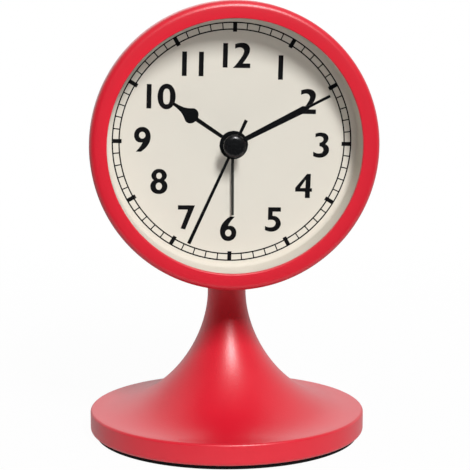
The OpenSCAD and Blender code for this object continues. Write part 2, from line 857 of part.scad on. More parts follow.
module battery() {
    nub = 1.3;
    nub_r = 2.75;
    color("#3c6e8f") at_head() translate([-cell_len / 2, -cell_drop, cell_axis_h]) rotate([0, 90, 0])
        union() {
            cylinder(h = cell_len - nub, r = cell_d / 2);
            cylinder(h = cell_len, r = nub_r);
        }
}

module contact(side, reach) {
    w = 9;
    below = 5;
    spring_half = 3;
    color(yellow_metal) at_head() union() {
        mirror([side > 0 ? 0 : 1, 0, 0]) {
            block(bay_in_x - contact_t, -cell_drop - w / 2, bay_in_x, -cell_drop + w / 2,
                cell_axis_h - below, bay_floor);
            translate([0, -cell_drop + reach, 0]) rotate([90, 0, 0])
                linear_extrude(2 * reach) polygon([[bay_in_x - contact_t, cell_axis_h + spring_half],
                    [cell_len / 2, cell_axis_h], [bay_in_x - contact_t, cell_axis_h - spring_half]]);
        }
    }
}

module positive_contact() {
    contact(1, 2);
}

module negative_contact() {
    contact(-1, 3.5);
}

module circuit_board() {
    color(green_board) at_head()
        block(-board_half, board_low, board_half, board_top, back_in, back_in + board_t);
}

module quartz_crystal() {
    can_r = 1;
    can_len = 6;
    place = [2.5, 2.5];
    color(steel) at_head() translate([place.x, board_low + place.y, back_in + board_t + can_r])
        rotate([0, 90, 0]) cylinder(h = can_len, r = can_r);
}

module timing_chip() {
    blob_r = 2.6;
    blob_h = 1.1;
    place = [-5, 3.5];
    color(black) at_head() translate([place.x, board_low + place.y, 0])
        rod(blob_r, back_in + board_t, back_in + board_t + blob_h);
}

module along_coil() {
    at_head() translate([coil_x, coil_low, coil_axis_h]) rotate([-90, 0, 0]) children();
}

module core_space(gap) {
    translate([-core_w / 2 - gap, -core_t / 2 - gap, -over])
        cube([core_w + 2 * gap, core_t + 2 * gap, coil_len + 2 * over]);
}

module coil_bobbin() {
    color(white_plastic) along_coil() difference() {
        union() {
            cylinder(h = coil_len, r = bobbin_r);
            cylinder(h = flange_t, r = coil_r);
            translate([0, 0, coil_len - flange_t]) cylinder(h = flange_t, r = coil_r);
        }
        core_space(0);
    }
}

module coil_winding() {
    color("#a85f2c") along_coil() 
        tube(coil_r - winding_gap, bobbin_r, flange_t, coil_len - flange_t);
}

module coil_core() {
    color(steel) at_head() block(coil_x - core_w / 2, coil_low - core_over, coil_x + core_w / 2,
        coil_low + coil_len + core_over, core_h, core_h + core_t);
}

module stator() {
    hole_r = rotor_r + rotor_gap;
    top = coil_low + coil_len;
    neck = 2;
    flange_gap = 0.2;
    color(steel) at_head() difference() {
        union() {
            translate([rotor_at.x, rotor_at.y, 0]) rod(hole_r + stator_rim, stator_h, core_h);
            block(coil_x - neck, rotor_at.y, coil_x + core_w / 2, coil_low - flange_gap,
                stator_h, core_h);
            block(stator_arm_x - stator_arm_w, rotor_at.y, stator_arm_x, top + core_over,
                stator_h, core_h);
            block(stator_arm_x - eps, top + flange_gap, coil_x + core_w / 2, top + core_over,
                stator_h, core_h);
        }
        translate([rotor_at.x, rotor_at.y, 0]) rod(hole_r, back_out, middle_back);
    }
}

module sounder() {
    color(black) at_head() translate([sounder_at.x, sounder_at.y, 0]) difference() {
        rod(sounder_r, back_in, back_in + sounder_t);
        rod(sounder_port_r, back_in - over, back_in + sounder_t / 2);
    }
}

module alarm_contact() {
    leaf_t = 0.3;
    leaf_w = 2.5;
    foot = 4;
    run = 9;
    place = [17, -8];
    dir = 154;
    rise = hour_h - middle_top - leaf_t - slide_gap;
    color(yellow_metal) at_head() translate([place.x, place.y, middle_top]) rotate([90, 0, dir])
        linear_extrude(leaf_w) polygon([[0, 0], [foot, 0], [foot + run, rise],
            [foot + run, rise + leaf_t], [foot, leaf_t], [0, leaf_t]]);
}

// Running train

module rotor() {
    color("#5a5d63") at_axis(rotor_at) union() {
        rod(rotor_r, stator_h - magnet_over, fifth_h - magnet_gap);
        pinion(rotor_pinion_n, rotor_m, fifth_h, thin_wheel_t, rotor_phase);
        arbor(arbor_r, back_in, middle_back, mov_wall - seat_gap, middle_t - seat_gap);
    }
}

module fifth_wheel() {
    color(white_plastic) at_axis(fifth_at) union() {
        gear(fifth_n, rotor_m, fifth_h, thin_wheel_t);
        pinion(fifth_pinion_n, second_m, second_h, thin_wheel_t, fifth_pinion_phase);
        arbor(slim_arbor_r, back_in, middle_back, mov_wall - seat_gap, middle_t - seat_gap);
    }
}

module second_wheel() {
    color(white_plastic) at_head() union() {
        gear(second_n, second_m, second_h, thin_wheel_t);
        pinion(train_pinion_n, third_m, third_h, thin_wheel_t);
        rod(second_r, back_in + run_gap, arbor_tip);
        rod(pivot_r, back_out + seat_gap, back_in + over);
    }
}

module third_wheel() {
    color(white_plastic) at_axis(third_at) union() {
        gear(third_n, third_m, third_h, thin_wheel_t, third_phase);
        pinion(train_pinion_n, train_m, centre_h, thin_wheel_t);
        arbor(arbor_r, bay_front, middle_back, third_pivot - seat_gap, middle_t - seat_gap);
    }
}

module centre_wheel() {
    color(white_plastic) at_head() difference() {
        gear(centre_n, train_m, centre_h, thin_wheel_t, centre_phase);
        rod(cannon_r + run_gap, 0, lip_front);
    }
}

// Motion work

module cannon_pinion() {
    flange_t = 0.6;
    flange_w = 0.8;
    flange_gap = 0.3;
    low = centre_h - flange_gap - flange_t;
    color(yellow_metal) at_head() difference() {
        union() {
            gear(cannon_n, motion_m, minute_h - mesh_over, wheel_t + 2 * mesh_over);
            rod(cannon_r, low, minute_hand_h + hand_t + tube_over);
            rod(cannon_r + flange_w, low, low + flange_t);
        }
        rod(second_r + run_gap, 0, lip_front);
    }
}

module clutch_spring() {
    disc_w = 2.2;
    disc_t = 0.25;
    play = 0.15;
    low = centre_h + thin_wheel_t + play;
    color(steel) at_head() tube(cannon_r + disc_w, cannon_r, low, low + disc_t);
}

module minute_wheel() {
    color(white_plastic) at_axis(minute_at) union() {
        gear(minute_n, motion_m, minute_h, wheel_t, minute_phase);
        pinion(minute_pinion_n, hour_m, hour_h, wheel_t);
        arbor(arbor_r, middle_top, front_in, middle_t - seat_gap, mov_wall - seat_gap);
    }
}

module hour_wheel() {
    color(white_plastic) at_head() difference() {
        union() {
            gear(hour_n, hour_m, hour_h, wheel_t, hour_phase);
            rod(hour_tube_r, hour_h, hour_hand_h + hand_t + tube_over);
        }
        rod(cannon_r + run_gap, 0, lip_front);
    }
}

module set_arbor(gear_h, phase) {
    gear(set_n, motion_m, gear_h - mesh_over, wheel_t + 2 * mesh_over, phase);
    rod(set_arbor_r, arbor_end, front_in - run_gap);
    rod(pivot_r, front_in - over, mov_front - seat_gap);
}

module set_knob() {
    groove_r = 0.55;
    groove_off = 0.22;
    difference() {
        union() {
            rod(knob_d / 2, knob_base - knob_h, knob_base);
            rod(knob_hub_r, knob_base - over, cover_in);
        }
        rod(set_arbor_r, arbor_end, cover_in + over);
        for (i = [0:knob_grooves - 1])
            translate(polar(knob_d / 2 + groove_off, 360 * i / knob_grooves))
                rod(groove_r, knob_base - knob_h - over, knob_base + over, $fn = 24);
    }
}

module time_set_arbor() {
    color(steel) at_axis(time_set_at) set_arbor(minute_h, time_set_phase);
}

module time_set_knob() {
    color(black) at_axis(time_set_at) set_knob();
}

// Alarm work

module alarm_wheel() {
    color(white_plastic) at_head() difference() {
        union() {
            gear(alarm_n, motion_m, alarm_h, wheel_t);
            rod(alarm_tube_r, alarm_h, alarm_hand_h + hand_t + tube_over);
        }
        rod(hour_tube_r + run_gap, 0, lip_front);
    }
}

module alarm_idler() {
    color(white_plastic) at_axis(idler_at) union() {
        gear(idler_n, motion_m, alarm_h, wheel_t, idler_phase);
        arbor(arbor_r, middle_top, front_in, middle_t - seat_gap, mov_wall - seat_gap);
    }
}

module alarm_set_arbor() {
    color(steel) at_axis(alarm_set_at) set_arbor(alarm_h, alarm_set_phase);
}

module alarm_set_knob() {
    color(black) at_axis(alarm_set_at) set_knob();
}

module alarm_switch() {
    gap = 0.2;
    button_h = 1.8;
    flange_t = 0.8;
    button_x = switch_neck / 2 + switch_over;
    flange_x = button_x + switch_travel / 2;
    color(white_plastic) at_head() translate([-switch_travel / 2, switch_up, 0]) union() {
        block(-button_x, -switch_half, button_x, switch_half,
            cover_out - gap - button_h, cover_out - gap);
        block(-switch_neck / 2, -switch_neck_h / 2, switch_neck / 2, switch_neck_h / 2,
            cover_out - gap - eps, cover_in + gap + eps);
        block(-flange_x, -switch_half, flange_x, switch_half, cover_in + gap, cover_in + gap + flange_t);
        block(-prong / 2, -prong / 2, prong / 2, prong / 2, cover_in + gap, back_in - slide_gap);
    }
}

// Hands, each on the tube or arbor that turns it

module hand(angle, level) {
    at_head() rotate(-angle) translate([0, 0, level]) children();
}

module flat_hand(hub_r, bore) {
    difference() {
        union() {
            linear_extrude(hand_t) children();
            rod(hub_r, 0, hand_t);
            rod(bore + collet_wall, -collet_h, hand_t);
        }
        rod(bore, -collet_h - over, hand_t + over);
    }
}

module alarm_hand() {
    hub_w = 0.9;
    hub_drop = 0.6;
    color("#6b6866") hand(alarm_angle, alarm_hand_h) difference() {
        union() {
            translate([-alarm_w / 2, 0, 0]) cube([alarm_w, alarm_len, hand_t]);
            rod(alarm_tube_r + hub_w, -hub_drop, hand_t);
        }
        rod(alarm_tube_r, -hub_drop - over, hand_t + over);
    }
}

module hour_hand() {
    hub_w = 1.6;
    tip_half = 0.4;
    tip_len = hour_len - hour_round_at;
    // Shares of the round's radius across and of the tip's length along
    waist = [[0.8, 0.175], [0.56, 0.31], [0.36, 0.48], [0.23, 0.72]];
    edge = [for (p = waist) [p.x * hour_round, hour_round_at + p.y * tip_len]];
    color(black) hand(hour_angle, hour_hand_h) flat_hand(hour_tube_r + hub_w, hour_tube_r) union() {
        translate([-hour_w / 2, 0]) square([hour_w, hour_round_at]);
        translate([0, hour_round_at]) circle(hour_round);
        polygon(concat([for (p = edge) [-p.x, p.y]], [[-tip_half, hour_len], [tip_half, hour_len]],
            [for (i = [len(edge) - 1:-1:0]) edge[i]]));
    }
}

module minute_hand() {
    shoulder_run = 1.2;
    neck = minute_shoulder + shoulder_run;
    color(black) hand(minute_angle, minute_hand_h) flat_hand(boss_r, cannon_r)
        polygon([[-minute_root_w / 2, 0], [-minute_w / 2, minute_shoulder], [-minute_tip_w / 2, neck],
            [-minute_tip_w / 2, minute_len], [minute_tip_w / 2, minute_len], [minute_tip_w / 2, neck],
            [minute_w / 2, minute_shoulder], [minute_root_w / 2, 0]]);
}

module second_hand() {
    hub_w = 1.2;
    color(black) hand(second_angle, second_hand_h) flat_hand(second_r + hub_w, second_r)
        translate([-second_w / 2, -second_tail]) square([second_w, second_tail + second_len]);
}

module hand_cap() {
    edge = 0.2;
    bevel = 0.45;
    dome_w = cap_r - bevel;
    dome_rise = cap_rise - bevel;
    dome_r = (dome_w * dome_w + dome_rise * dome_rise) / (2 * dome_rise);
    color(black) at_head() difference() {
        translate([0, 0, cap_base]) rotate_extrude() polygon(concat(
            [[0, 0], [cap_r - edge, 0], [cap_r, edge], [cap_r, cap_side]],
            arc([0, cap_side + cap_rise - dome_r], dome_r, 90 - asin(dome_w / dome_r), 90, 8)));
        rod(second_r, cap_base - over, arbor_tip);
    }
}

pedestal();
ballast_weight();
base_plate();
base_screws();
foot_pad();
stem_screw();
stem_saddle();
bezel();
lens();
dial();
movement_carrier();
case_bowl();
back_cover();
back_cover_screws();
battery_door();
front_plate();
middle_plate();
movement_housing();
movement_screws();
battery();
positive_contact();
negative_contact();
circuit_board();
quartz_crystal();
timing_chip();
coil_bobbin();
coil_winding();
coil_core();
stator();
sounder();
alarm_contact();
rotor();
fifth_wheel();
second_wheel();
third_wheel();
centre_wheel();
cannon_pinion();
clutch_spring();
minute_wheel();
hour_wheel();
time_set_arbor();
time_set_knob();
alarm_wheel();
alarm_idler();
alarm_set_arbor();
alarm_set_knob();
alarm_switch();
alarm_hand();
hour_hand();
minute_hand();
second_hand();
hand_cap();
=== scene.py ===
"""Bedside alarm clock on a trumpet pedestal: its finishes, its smooth shells and its printed dial."""
import json
import math

import bmesh
import bpy
from bpy.props import FloatProperty, FloatVectorProperty, IntProperty, PointerProperty
from mathutils import Matrix, Vector


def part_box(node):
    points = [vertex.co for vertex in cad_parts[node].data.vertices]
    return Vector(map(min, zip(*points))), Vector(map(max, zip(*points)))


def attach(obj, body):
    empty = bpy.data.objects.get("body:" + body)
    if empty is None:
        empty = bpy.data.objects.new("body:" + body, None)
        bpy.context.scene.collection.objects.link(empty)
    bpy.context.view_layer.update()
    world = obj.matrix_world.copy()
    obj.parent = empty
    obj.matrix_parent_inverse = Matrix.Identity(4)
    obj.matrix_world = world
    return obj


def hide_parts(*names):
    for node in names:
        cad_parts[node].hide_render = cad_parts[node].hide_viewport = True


bl_info = {
    "name": "Pedestal alarm clock",
    "version": (1, 0, 0),
    "blender": (4, 5, 0),
    "location": "View3D > Sidebar > Clock",
    "description": "Dresses a round alarm clock on a trumpet pedestal, with its dial print, hands and back",
    "category": "Object",
}

MM = 0.001
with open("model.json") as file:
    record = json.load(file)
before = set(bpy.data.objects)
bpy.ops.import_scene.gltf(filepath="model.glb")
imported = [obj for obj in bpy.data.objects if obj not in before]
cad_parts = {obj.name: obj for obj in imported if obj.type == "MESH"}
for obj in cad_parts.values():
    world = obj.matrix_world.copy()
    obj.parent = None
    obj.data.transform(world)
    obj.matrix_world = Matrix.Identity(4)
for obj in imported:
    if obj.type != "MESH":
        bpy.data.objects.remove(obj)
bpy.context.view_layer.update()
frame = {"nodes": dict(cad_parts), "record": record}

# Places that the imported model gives
BEZEL_LOW, BEZEL_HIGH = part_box("bezel")
LENS_LOW, LENS_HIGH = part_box("lens")
STAND_LOW, STAND_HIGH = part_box("pedestal")
CAP_LOW, CAP_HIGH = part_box("hand_cap")
HEAD_R = (BEZEL_HIGH.x - BEZEL_LOW.x) / 2
HEAD_Z = (BEZEL_HIGH.z + BEZEL_LOW.z) / 2
LIP_FRONT = -BEZEL_LOW.y
BEZEL_BACK = -BEZEL_HIGH.y
BOWL_BACK = -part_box("case_bowl")[1].y
DIAL_BACK = -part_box("dial")[1].y
LENS_R = (LENS_HIGH.x - LENS_LOW.x) / 2
RIM_R = (STAND_HIGH.x - STAND_LOW.x) / 2
PAD_T = STAND_LOW.z

# Faces that meet at more than this show a crisp edge
SHARP_ANGLE = math.radians(32)
# Edges of a CAD node that turn by more than this are rounded
HARD_EDGE = math.radians(35)
# Faces whose normals agree by more than this cosine are shaded as one bend
SAME_BEND = 0.64
# A hand's hub reaches this far along it, and its tip starts at this share of its length
HUB_REACH = 4.4 * MM
TIP_SHARE = 0.97


def linear(code):
    """An sRGB hex colour as linear RGBA."""
    parts = [int(code[i:i + 2], 16) / 255 for i in (0, 2, 4)]
    return tuple(c / 12.92 if c <= 0.04045 else ((c + 0.055) / 1.055) ** 2.4 for c in parts) + (1.0,)


def length(name, text, value):
    """A size property in metres."""
    return FloatProperty(name=name, description=text, default=value, unit="LENGTH", precision=5)


def colour(name, text, code):
    """A colour property from an sRGB hex value."""
    return FloatVectorProperty(name=name, description=text, default=linear(code), size=4, subtype="COLOR",
                               min=0.0, max=1.0)


class ClockSizes(bpy.types.PropertyGroup):
    """Sizes of the shells, the dial print and the lens."""
    ring_width: length("Ring width", "Width of the bezel's front ring", 5.9 * MM)
    ring_round: length("Ring round", "Radius of the bezel's front outer edge", 2.2 * MM)
    lip_round: length("Lip round", "Radius of the bezel's inner lip edge", 0.4 * MM)
    lip_thickness: length("Lip", "Thickness of the lip over the lens", 1.6 * MM)
    wall: length("Wall", "Wall of the bezel and of the bowl", 2.0 * MM)
    draw_start: length("Draw start", "Lip plane to the line where the case starts to draw in", 6.5 * MM)
    case_draw: length("Case draw", "How far the case draws in towards the back", 5.8 * MM)
    case_taper: FloatProperty(name="Case taper", description="Slope at which the case starts to draw in",
                              default=0.09)
    lens_rise: length("Lens rise", "Rise of the domed lens", 2.6 * MM)
    lens_wall: length("Lens wall", "Thickness of the lens", 1.6 * MM)
    dial_sheet: length("Dial sheet", "Sheet thickness of the dial", 0.8 * MM)
    dial_slope: length("Dial slope", "How far the dial's wall slopes in", 1.75 * MM)
    dial_fillet: length("Dial fillet", "Radius between dial and wall", 1.7 * MM)
    flare_top: length("Flare top", "Height where the neck starts to flare", 52.7 * MM)
    rim_top: length("Rim top", "Height of the rim's top edge", 9.4 * MM)
    rim_edge: length("Rim edge", "Width of the rim outside the flare", 2.9 * MM)
    rim_round: length("Rim round", "Radius of the rim's top edge", 0.9 * MM)
    rim_under: length("Rim under", "Radius under the rim", 1.5 * MM)
    neck_r: length("Neck", "Radius of the neck", 6.85 * MM)
    flare_power: FloatProperty(name="Flare power", description="Fullness of the flare's curve", default=1.84)
    track_outer: length("Track outer", "Radius of the track's outer line", 41.49 * MM)
    track_inner: length("Track inner", "Radius of the track's inner line", 39.17 * MM)
    track_line: length("Track line", "Width of the track's lines", 0.46 * MM)
    track_right: length("Track right", "Track's middle to the right of the dial axis", 0.04 * MM)
    track_up: length("Track up", "Track's middle above the dial axis", 0.13 * MM)
    hour_tick: length("Hour tick", "Length of an hour tick", 3.2 * MM)
    hour_tick_w: length("Hour tick width", "Width of an hour tick", 1.4 * MM)
    minute_tick_w: length("Minute tick width", "Width of a minute tick", 0.4 * MM)
    stroke: length("Stroke", "Weight added to each side of a numeral's strokes", 0.07 * MM)
    ink: length("Ink", "Height of the printed ink", 0.03 * MM)
    dial_roll: FloatProperty(name="Dial roll", description="Turn of the dial in the case, clockwise",
                             default=math.radians(1.47), subtype="ANGLE")
    cap_bevel: length("Cap bevel", "Width of the centre cap's sloped edge", 1.25 * MM)
    cap_drop: length("Cap drop", "How far the centre cap's edge lies below its face", 0.75 * MM)
    turns: IntProperty(name="Turns", description="Segments round a shell", default=160, min=48)


class ClockFinishes(bpy.types.PropertyGroup):
    """Colours of the clock's surfaces."""
    red: colour("Red", "Satin lacquer of the shells", "dc162d")
    cream: colour("Cream", "Matt paint of the dial", "d2cec3")
    # The wall's cream is a second copy of the dial's cream, toned against the stronger light on the wall:
    # painted shade, now almost the dial's own tone
    wall_shade_cream: colour("Wall shade cream", "Matt paint of the dial's upturned wall", "d3cdc1")
    print_ink: colour("Ink", "Screen print on the dial", "08080a")
    hand_black: colour("Hand black", "Lacquer of the hands and cap", "07080a")
    alarm_grey: colour("Alarm grey", "Lacquer of the alarm hand", "333330")
    back_black: colour("Back black", "Moulded back cover and knobs", "1a1a1b")
    rubber: colour("Rubber", "Foot pad", "111112")
    switch_white: colour("Switch white", "Moulded alarm switch and wheels", "e6e3d9")


def add(tree, kind, settings=None, links=None):
    """Adds a node, sets its sockets or attributes and links its inputs, each by name or number."""
    node = tree.nodes.new(kind)
    for key, value in (settings or {}).items():
        if isinstance(key, int) or key in node.inputs:
            node.inputs[key].default_value = value
        else:
            setattr(node, key, value)
    for key, source in (links or {}).items():
        tree.links.new(source, node.inputs[key])
    return node


def surface(name, settings):
    """A new material with one Principled shader, and no output yet."""
    material = bpy.data.materials.new(name)
    material.use_nodes = True
    tree = material.node_tree
    tree.nodes.clear()
    return material, tree, add(tree, "ShaderNodeBsdfPrincipled", settings)


def grained(name, settings, base, spread, grain, rough, bump):
    """A material with drifts of colour and roughness and a fine relief, from noise of two real sizes."""
    material, tree, shader = surface(name, settings)
    place = add(tree, "ShaderNodeTexCoord").outputs["Object"]
    coarse, fine = [add(tree, "ShaderNodeTexNoise", {"Scale": 1 / size, "Detail": detail},
                        {"Vector": place}).outputs["Fac"] for size, detail in zip(grain, (3.0, 2.0))]
    darker = [c * (1 - spread) for c in base[:3]] + [1.0]
    lighter = [min(1.0, c * (1 + spread)) for c in base[:3]] + [1.0]
    tint = add(tree, "ShaderNodeMix", {"data_type": "RGBA", 6: darker, 7: lighter}, {"Factor": coarse})
    gloss = add(tree, "ShaderNodeMapRange", {"To Min": rough[0], "To Max": rough[1]}, {"Value": fine})
    relief = add(tree, "ShaderNodeBump", {"Strength": bump[0], "Distance": bump[1]}, {"Height": fine})
    tree.links.new(tint.outputs[2], shader.inputs["Base Color"])
    tree.links.new(gloss.outputs["Result"], shader.inputs["Roughness"])
    tree.links.new(relief.outputs["Normal"], shader.inputs["Normal"])
    add(tree, "ShaderNodeOutputMaterial", links={"Surface": shader.outputs["BSDF"]})
    return material


def red_lacquer(finish):
    """Satin lacquer sprayed on a metal shell: even colour, a soft highlight and slight orange peel."""
    return grained("red_satin_lacquer", {"IOR": 1.5, "Specular IOR Level": 0.7}, finish.red, spread=0.02,
                   grain=(6 * MM, 0.5 * MM), rough=(0.34, 0.42), bump=(0.8, 0.06 * MM))


def cream_paint(name, tone):
    """Matt spray paint on an aluminium dial: no gloss and a fine dusty tooth."""
    return grained(name, {"IOR": 1.45, "Specular IOR Level": 0.25}, tone, spread=0.012,
                   grain=(9 * MM, 0.3 * MM), rough=(0.78, 0.88), bump=(0.06, 0.03 * MM))


def dial_ink(finish):
    """Screen-printed ink: a dense black with a slight sheen."""
    return grained("black_screen_ink", {"IOR": 1.5, "Specular IOR Level": 0.1}, finish.print_ink, spread=0.1,
                   grain=(2 * MM, 0.2 * MM), rough=(0.55, 0.7), bump=(0.04, 0.01 * MM))


def hand_lacquer(name, tone, rough, shine):
    """Lacquer on pressed aluminium hands: thin, smooth, with a low satin sheen."""
    return grained(name, {"IOR": 1.5, "Specular IOR Level": shine}, tone, spread=0.06,
                   grain=(3 * MM, 0.25 * MM), rough=rough, bump=(0.03, 0.02 * MM))


def clear_acrylic():
    """Moulded acrylic lens, coated against glare. Lamps pass straight through to the dial."""
    material, tree, shader = surface("clear_acrylic", {
        "Base Color": (1.0, 1.0, 1.0, 1.0), "IOR": 1.49, "Transmission Weight": 1.0, "Roughness": 0.0,
        "Specular Tint": (0.05, 0.05, 0.05, 1.0)})
    path = add(tree, "ShaderNodeLightPath").outputs
    seen = add(tree, "ShaderNodeMath", {"operation": "MAXIMUM"},
               {0: path["Is Camera Ray"], 1: path["Is Transmission Ray"]})
    clear = add(tree, "ShaderNodeBsdfTransparent")
    both = add(tree, "ShaderNodeMixShader",
               links={"Fac": seen.outputs[0], 1: clear.outputs["BSDF"], 2: shader.outputs["BSDF"]})
    add(tree, "ShaderNodeOutputMaterial", links={"Surface": both.outputs["Shader"]})
    return material


def moulded_plastic(name, tone, rough, grain):
    """Injection-moulded ABS from a spark-eroded tool: a fine even grain."""
    return grained(name, {"IOR": 1.53, "Specular IOR Level": 0.45}, tone, spread=0.05,
                   grain=(4 * MM, grain), rough=rough, bump=(0.35, 0.06 * MM))


def foot_rubber(finish):
    """Soft rubber sheet: matt, with a fabric-pressed tooth."""
    return grained("foot_rubber", {"IOR": 1.52, "Specular IOR Level": 0.2}, finish.rubber, spread=0.15,
                   grain=(5 * MM, 0.5 * MM), rough=(0.8, 0.95), bump=(0.4, 0.1 * MM))


def turned_metal(name, code, rough):
    """Turned, stamped or cast metal: bright, with a fine uneven grain."""
    return grained(name, {"Metallic": 1.0}, linear(code), spread=0.06,
                   grain=(2 * MM, 0.12 * MM), rough=rough, bump=(0.12, 0.02 * MM))


def wound_copper():
    """Enamelled copper wire laid in close turns, drawn coarser than the real 0.05 mm wire so it shows."""
    # The wave's scale for a turn about every 1.6 mm
    scale = 200.0
    material, tree, shader = surface("enamelled_copper", {"Metallic": 0.8, "Roughness": 0.35})
    place = add(tree, "ShaderNodeTexCoord").outputs["Object"]
    turns = add(tree, "ShaderNodeTexWave", {"Scale": scale, "wave_type": "BANDS", "bands_direction": "Z"},
                {"Vector": place}).outputs["Fac"]
    tint = add(tree, "ShaderNodeValToRGB", links={"Fac": turns})
    tint.color_ramp.elements[0].color = linear("6e3315")
    tint.color_ramp.elements[1].color = linear("b9652c")
    relief = add(tree, "ShaderNodeBump", {"Strength": 0.4, "Distance": 0.05 * MM}, {"Height": turns})
    tree.links.new(tint.outputs["Color"], shader.inputs["Base Color"])
    tree.links.new(relief.outputs["Normal"], shader.inputs["Normal"])
    add(tree, "ShaderNodeOutputMaterial", links={"Surface": shader.outputs["BSDF"]})
    return material


def backdrop_rays(tree, path, mirrored):
    """How much of a white backdrop a ray meets: all from the camera or through glass, part if mirrored."""
    plain = add(tree, "ShaderNodeMath", {"operation": "MAXIMUM"},
                {0: path["Is Camera Ray"], 1: path["Is Transmission Ray"]})
    every = add(tree, "ShaderNodeMath", {"operation": "MAXIMUM"}, {0: plain.outputs[0], 1: mirrored})
    return every.outputs[0]


def white_floor():
    """White card under the clock: it keeps some shade near the foot and fades to plain white further out."""
    material, tree, shader = surface("white_floor", {
        "Base Color": linear("e6e6e6"), "Roughness": 0.9, "Specular IOR Level": 0.0})
    path = add(tree, "ShaderNodeLightPath").outputs
    mirror_share = 0.4
    mirrored = add(tree, "ShaderNodeMath", {"operation": "MULTIPLY", 1: mirror_share},
                   {0: path["Is Glossy Ray"]})
    met = backdrop_rays(tree, path, mirrored.outputs[0])
    place = add(tree, "ShaderNodeTexCoord").outputs["Object"]
    far = add(tree, "ShaderNodeVectorMath", {"operation": "LENGTH"}, {0: place}).outputs["Value"]
    fade = add(tree, "ShaderNodeMapRange",
               {"From Min": 0.08, "From Max": 0.4, "To Min": 0.975, "To Max": 1.0}, {"Value": far})
    share = add(tree, "ShaderNodeMath", {"operation": "MULTIPLY"}, {0: met, 1: fade.outputs["Result"]})
    glow = add(tree, "ShaderNodeEmission", {"Color": (1, 1, 1, 1), "Strength": 1.0})
    both = add(tree, "ShaderNodeMixShader",
               links={"Fac": share.outputs[0], 1: shader.outputs["BSDF"], 2: glow.outputs["Emission"]})
    add(tree, "ShaderNodeOutputMaterial", links={"Surface": both.outputs["Shader"]})
    return material


def white_room():
    """World with a white backdrop behind the clock, a dimmer room in front of it and little fill light."""
    world = bpy.data.worlds.new("white_room")
    world.use_nodes = True
    tree = world.node_tree
    tree.nodes.clear()
    path = add(tree, "ShaderNodeLightPath").outputs
    heading = add(tree, "ShaderNodeSeparateXYZ",
                  links={"Vector": add(tree, "ShaderNodeTexCoord").outputs["Generated"]})
    room = add(tree, "ShaderNodeMapRange",
               {"From Min": -0.6, "From Max": 0.45, "To Min": 0.08, "To Max": 1.0},
               {"Value": heading.outputs["Y"]})
    mirrored = add(tree, "ShaderNodeMath", {"operation": "MULTIPLY"},
                   {0: path["Is Glossy Ray"], 1: room.outputs["Result"]})
    level = add(tree, "ShaderNodeMapRange", {"To Min": 0.045, "To Max": 1.0},
                {"Value": backdrop_rays(tree, path, mirrored.outputs[0])})
    sky = add(tree, "ShaderNodeBackground", {"Color": (1, 1, 1, 1)}, {"Strength": level.outputs["Result"]})
    add(tree, "ShaderNodeOutputWorld", links={"Surface": sky.outputs["Background"]})
    return world


def on_head(r, h):
    """A point of a profile in the head: radius from the dial axis and level forward of the stem axis."""
    return Vector((r, -h, HEAD_Z))


def on_stand(r, z):
    """A point of a profile in the stand: radius from the stem axis and height."""
    return Vector((r, 0.0, z))


def arc(centre, radius, first, last, steps):
    """Points on an arc of a profile, in degrees."""
    turn = [math.radians(first + (last - first) * i / steps) for i in range(steps + 1)]
    return [(centre[0] + radius * math.cos(a), centre[1] + radius * math.sin(a)) for a in turn]


def spun(points, place, centre, axis, turns):
    """A closed profile spun a full turn, with its doubles merged and its faces turned outwards."""
    bm = bmesh.new()
    corners = [bm.verts.new(place(*p)) for p in points]
    edges = [bm.edges.new((a, b)) for a, b in zip(corners, corners[1:] + corners[:1])]
    bmesh.ops.spin(bm, geom=corners + edges, cent=centre, axis=axis, angle=2 * math.pi, steps=turns,
                   use_merge=True)
    bmesh.ops.remove_doubles(bm, verts=bm.verts[:], dist=0.002 * MM)
    bmesh.ops.dissolve_degenerate(bm, dist=0.001 * MM, edges=bm.edges[:])
    bmesh.ops.recalc_face_normals(bm, faces=bm.faces[:])
    return bm


def spun_head(points, turns):
    """A profile spun about the dial axis."""
    return spun(points, on_head, (0, 0, HEAD_Z), (0, 1, 0), turns)


def spun_stand(points, turns):
    """A profile spun about the stem axis."""
    return spun(points, on_stand, (0, 0, 0), (0, 0, 1), turns)


def case_radius(sizes, level):
    """Outside radius of the case at a level forward of the stem axis."""
    widest = LIP_FRONT - sizes.draw_start
    run = widest - BOWL_BACK
    bulge = (sizes.case_draw - sizes.case_taper * run) / (run * run)
    d = max(0.0, widest - level)
    return HEAD_R - sizes.case_taper * d - bulge * d * d


def skin(sizes, first, last, steps):
    """Points of the case's outside between two levels."""
    levels = [first + (last - first) * i / steps for i in range(steps + 1)]
    return [(case_radius(sizes, h), h) for h in levels]


def piece(name, bm, material, body, nodes=()):
    """Turns a bmesh into a named piece that rides on a body and stands for the nodes it covers."""
    mesh = bpy.data.meshes.new(name)
    bm.to_mesh(mesh)
    bm.free()
    for face in mesh.polygons:
        face.use_smooth = True
    mesh.set_sharp_from_angle(angle=SHARP_ANGLE)
    mesh.materials.append(material)
    thing = bpy.data.objects.new(name, mesh)
    bpy.context.scene.collection.objects.link(thing)
    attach(thing, body)
    if nodes:
        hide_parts(*nodes)
    return thing


def softened(node, edge):
    """A copy of a CAD node, merged, with its sharp edges rounded as a moulded or pressed piece's are."""
    bm = bmesh.new()
    bm.from_mesh(frame["nodes"][node].data)
    bmesh.ops.remove_doubles(bm, verts=bm.verts[:], dist=0.001 * MM)
    bmesh.ops.dissolve_limit(bm, angle_limit=math.radians(0.5), verts=bm.verts[:], edges=bm.edges[:])
    hard = [e for e in bm.edges if e.is_manifold and e.calc_face_angle(0.0) > HARD_EDGE]
    bmesh.ops.bevel(bm, geom=hard, offset=edge, offset_type="OFFSET", segments=2, profile=0.5,
                    affect="EDGES", clamp_overlap=True, material=-1)
    bmesh.ops.dissolve_degenerate(bm, dist=0.0005 * MM, edges=bm.edges[:])
    return bm


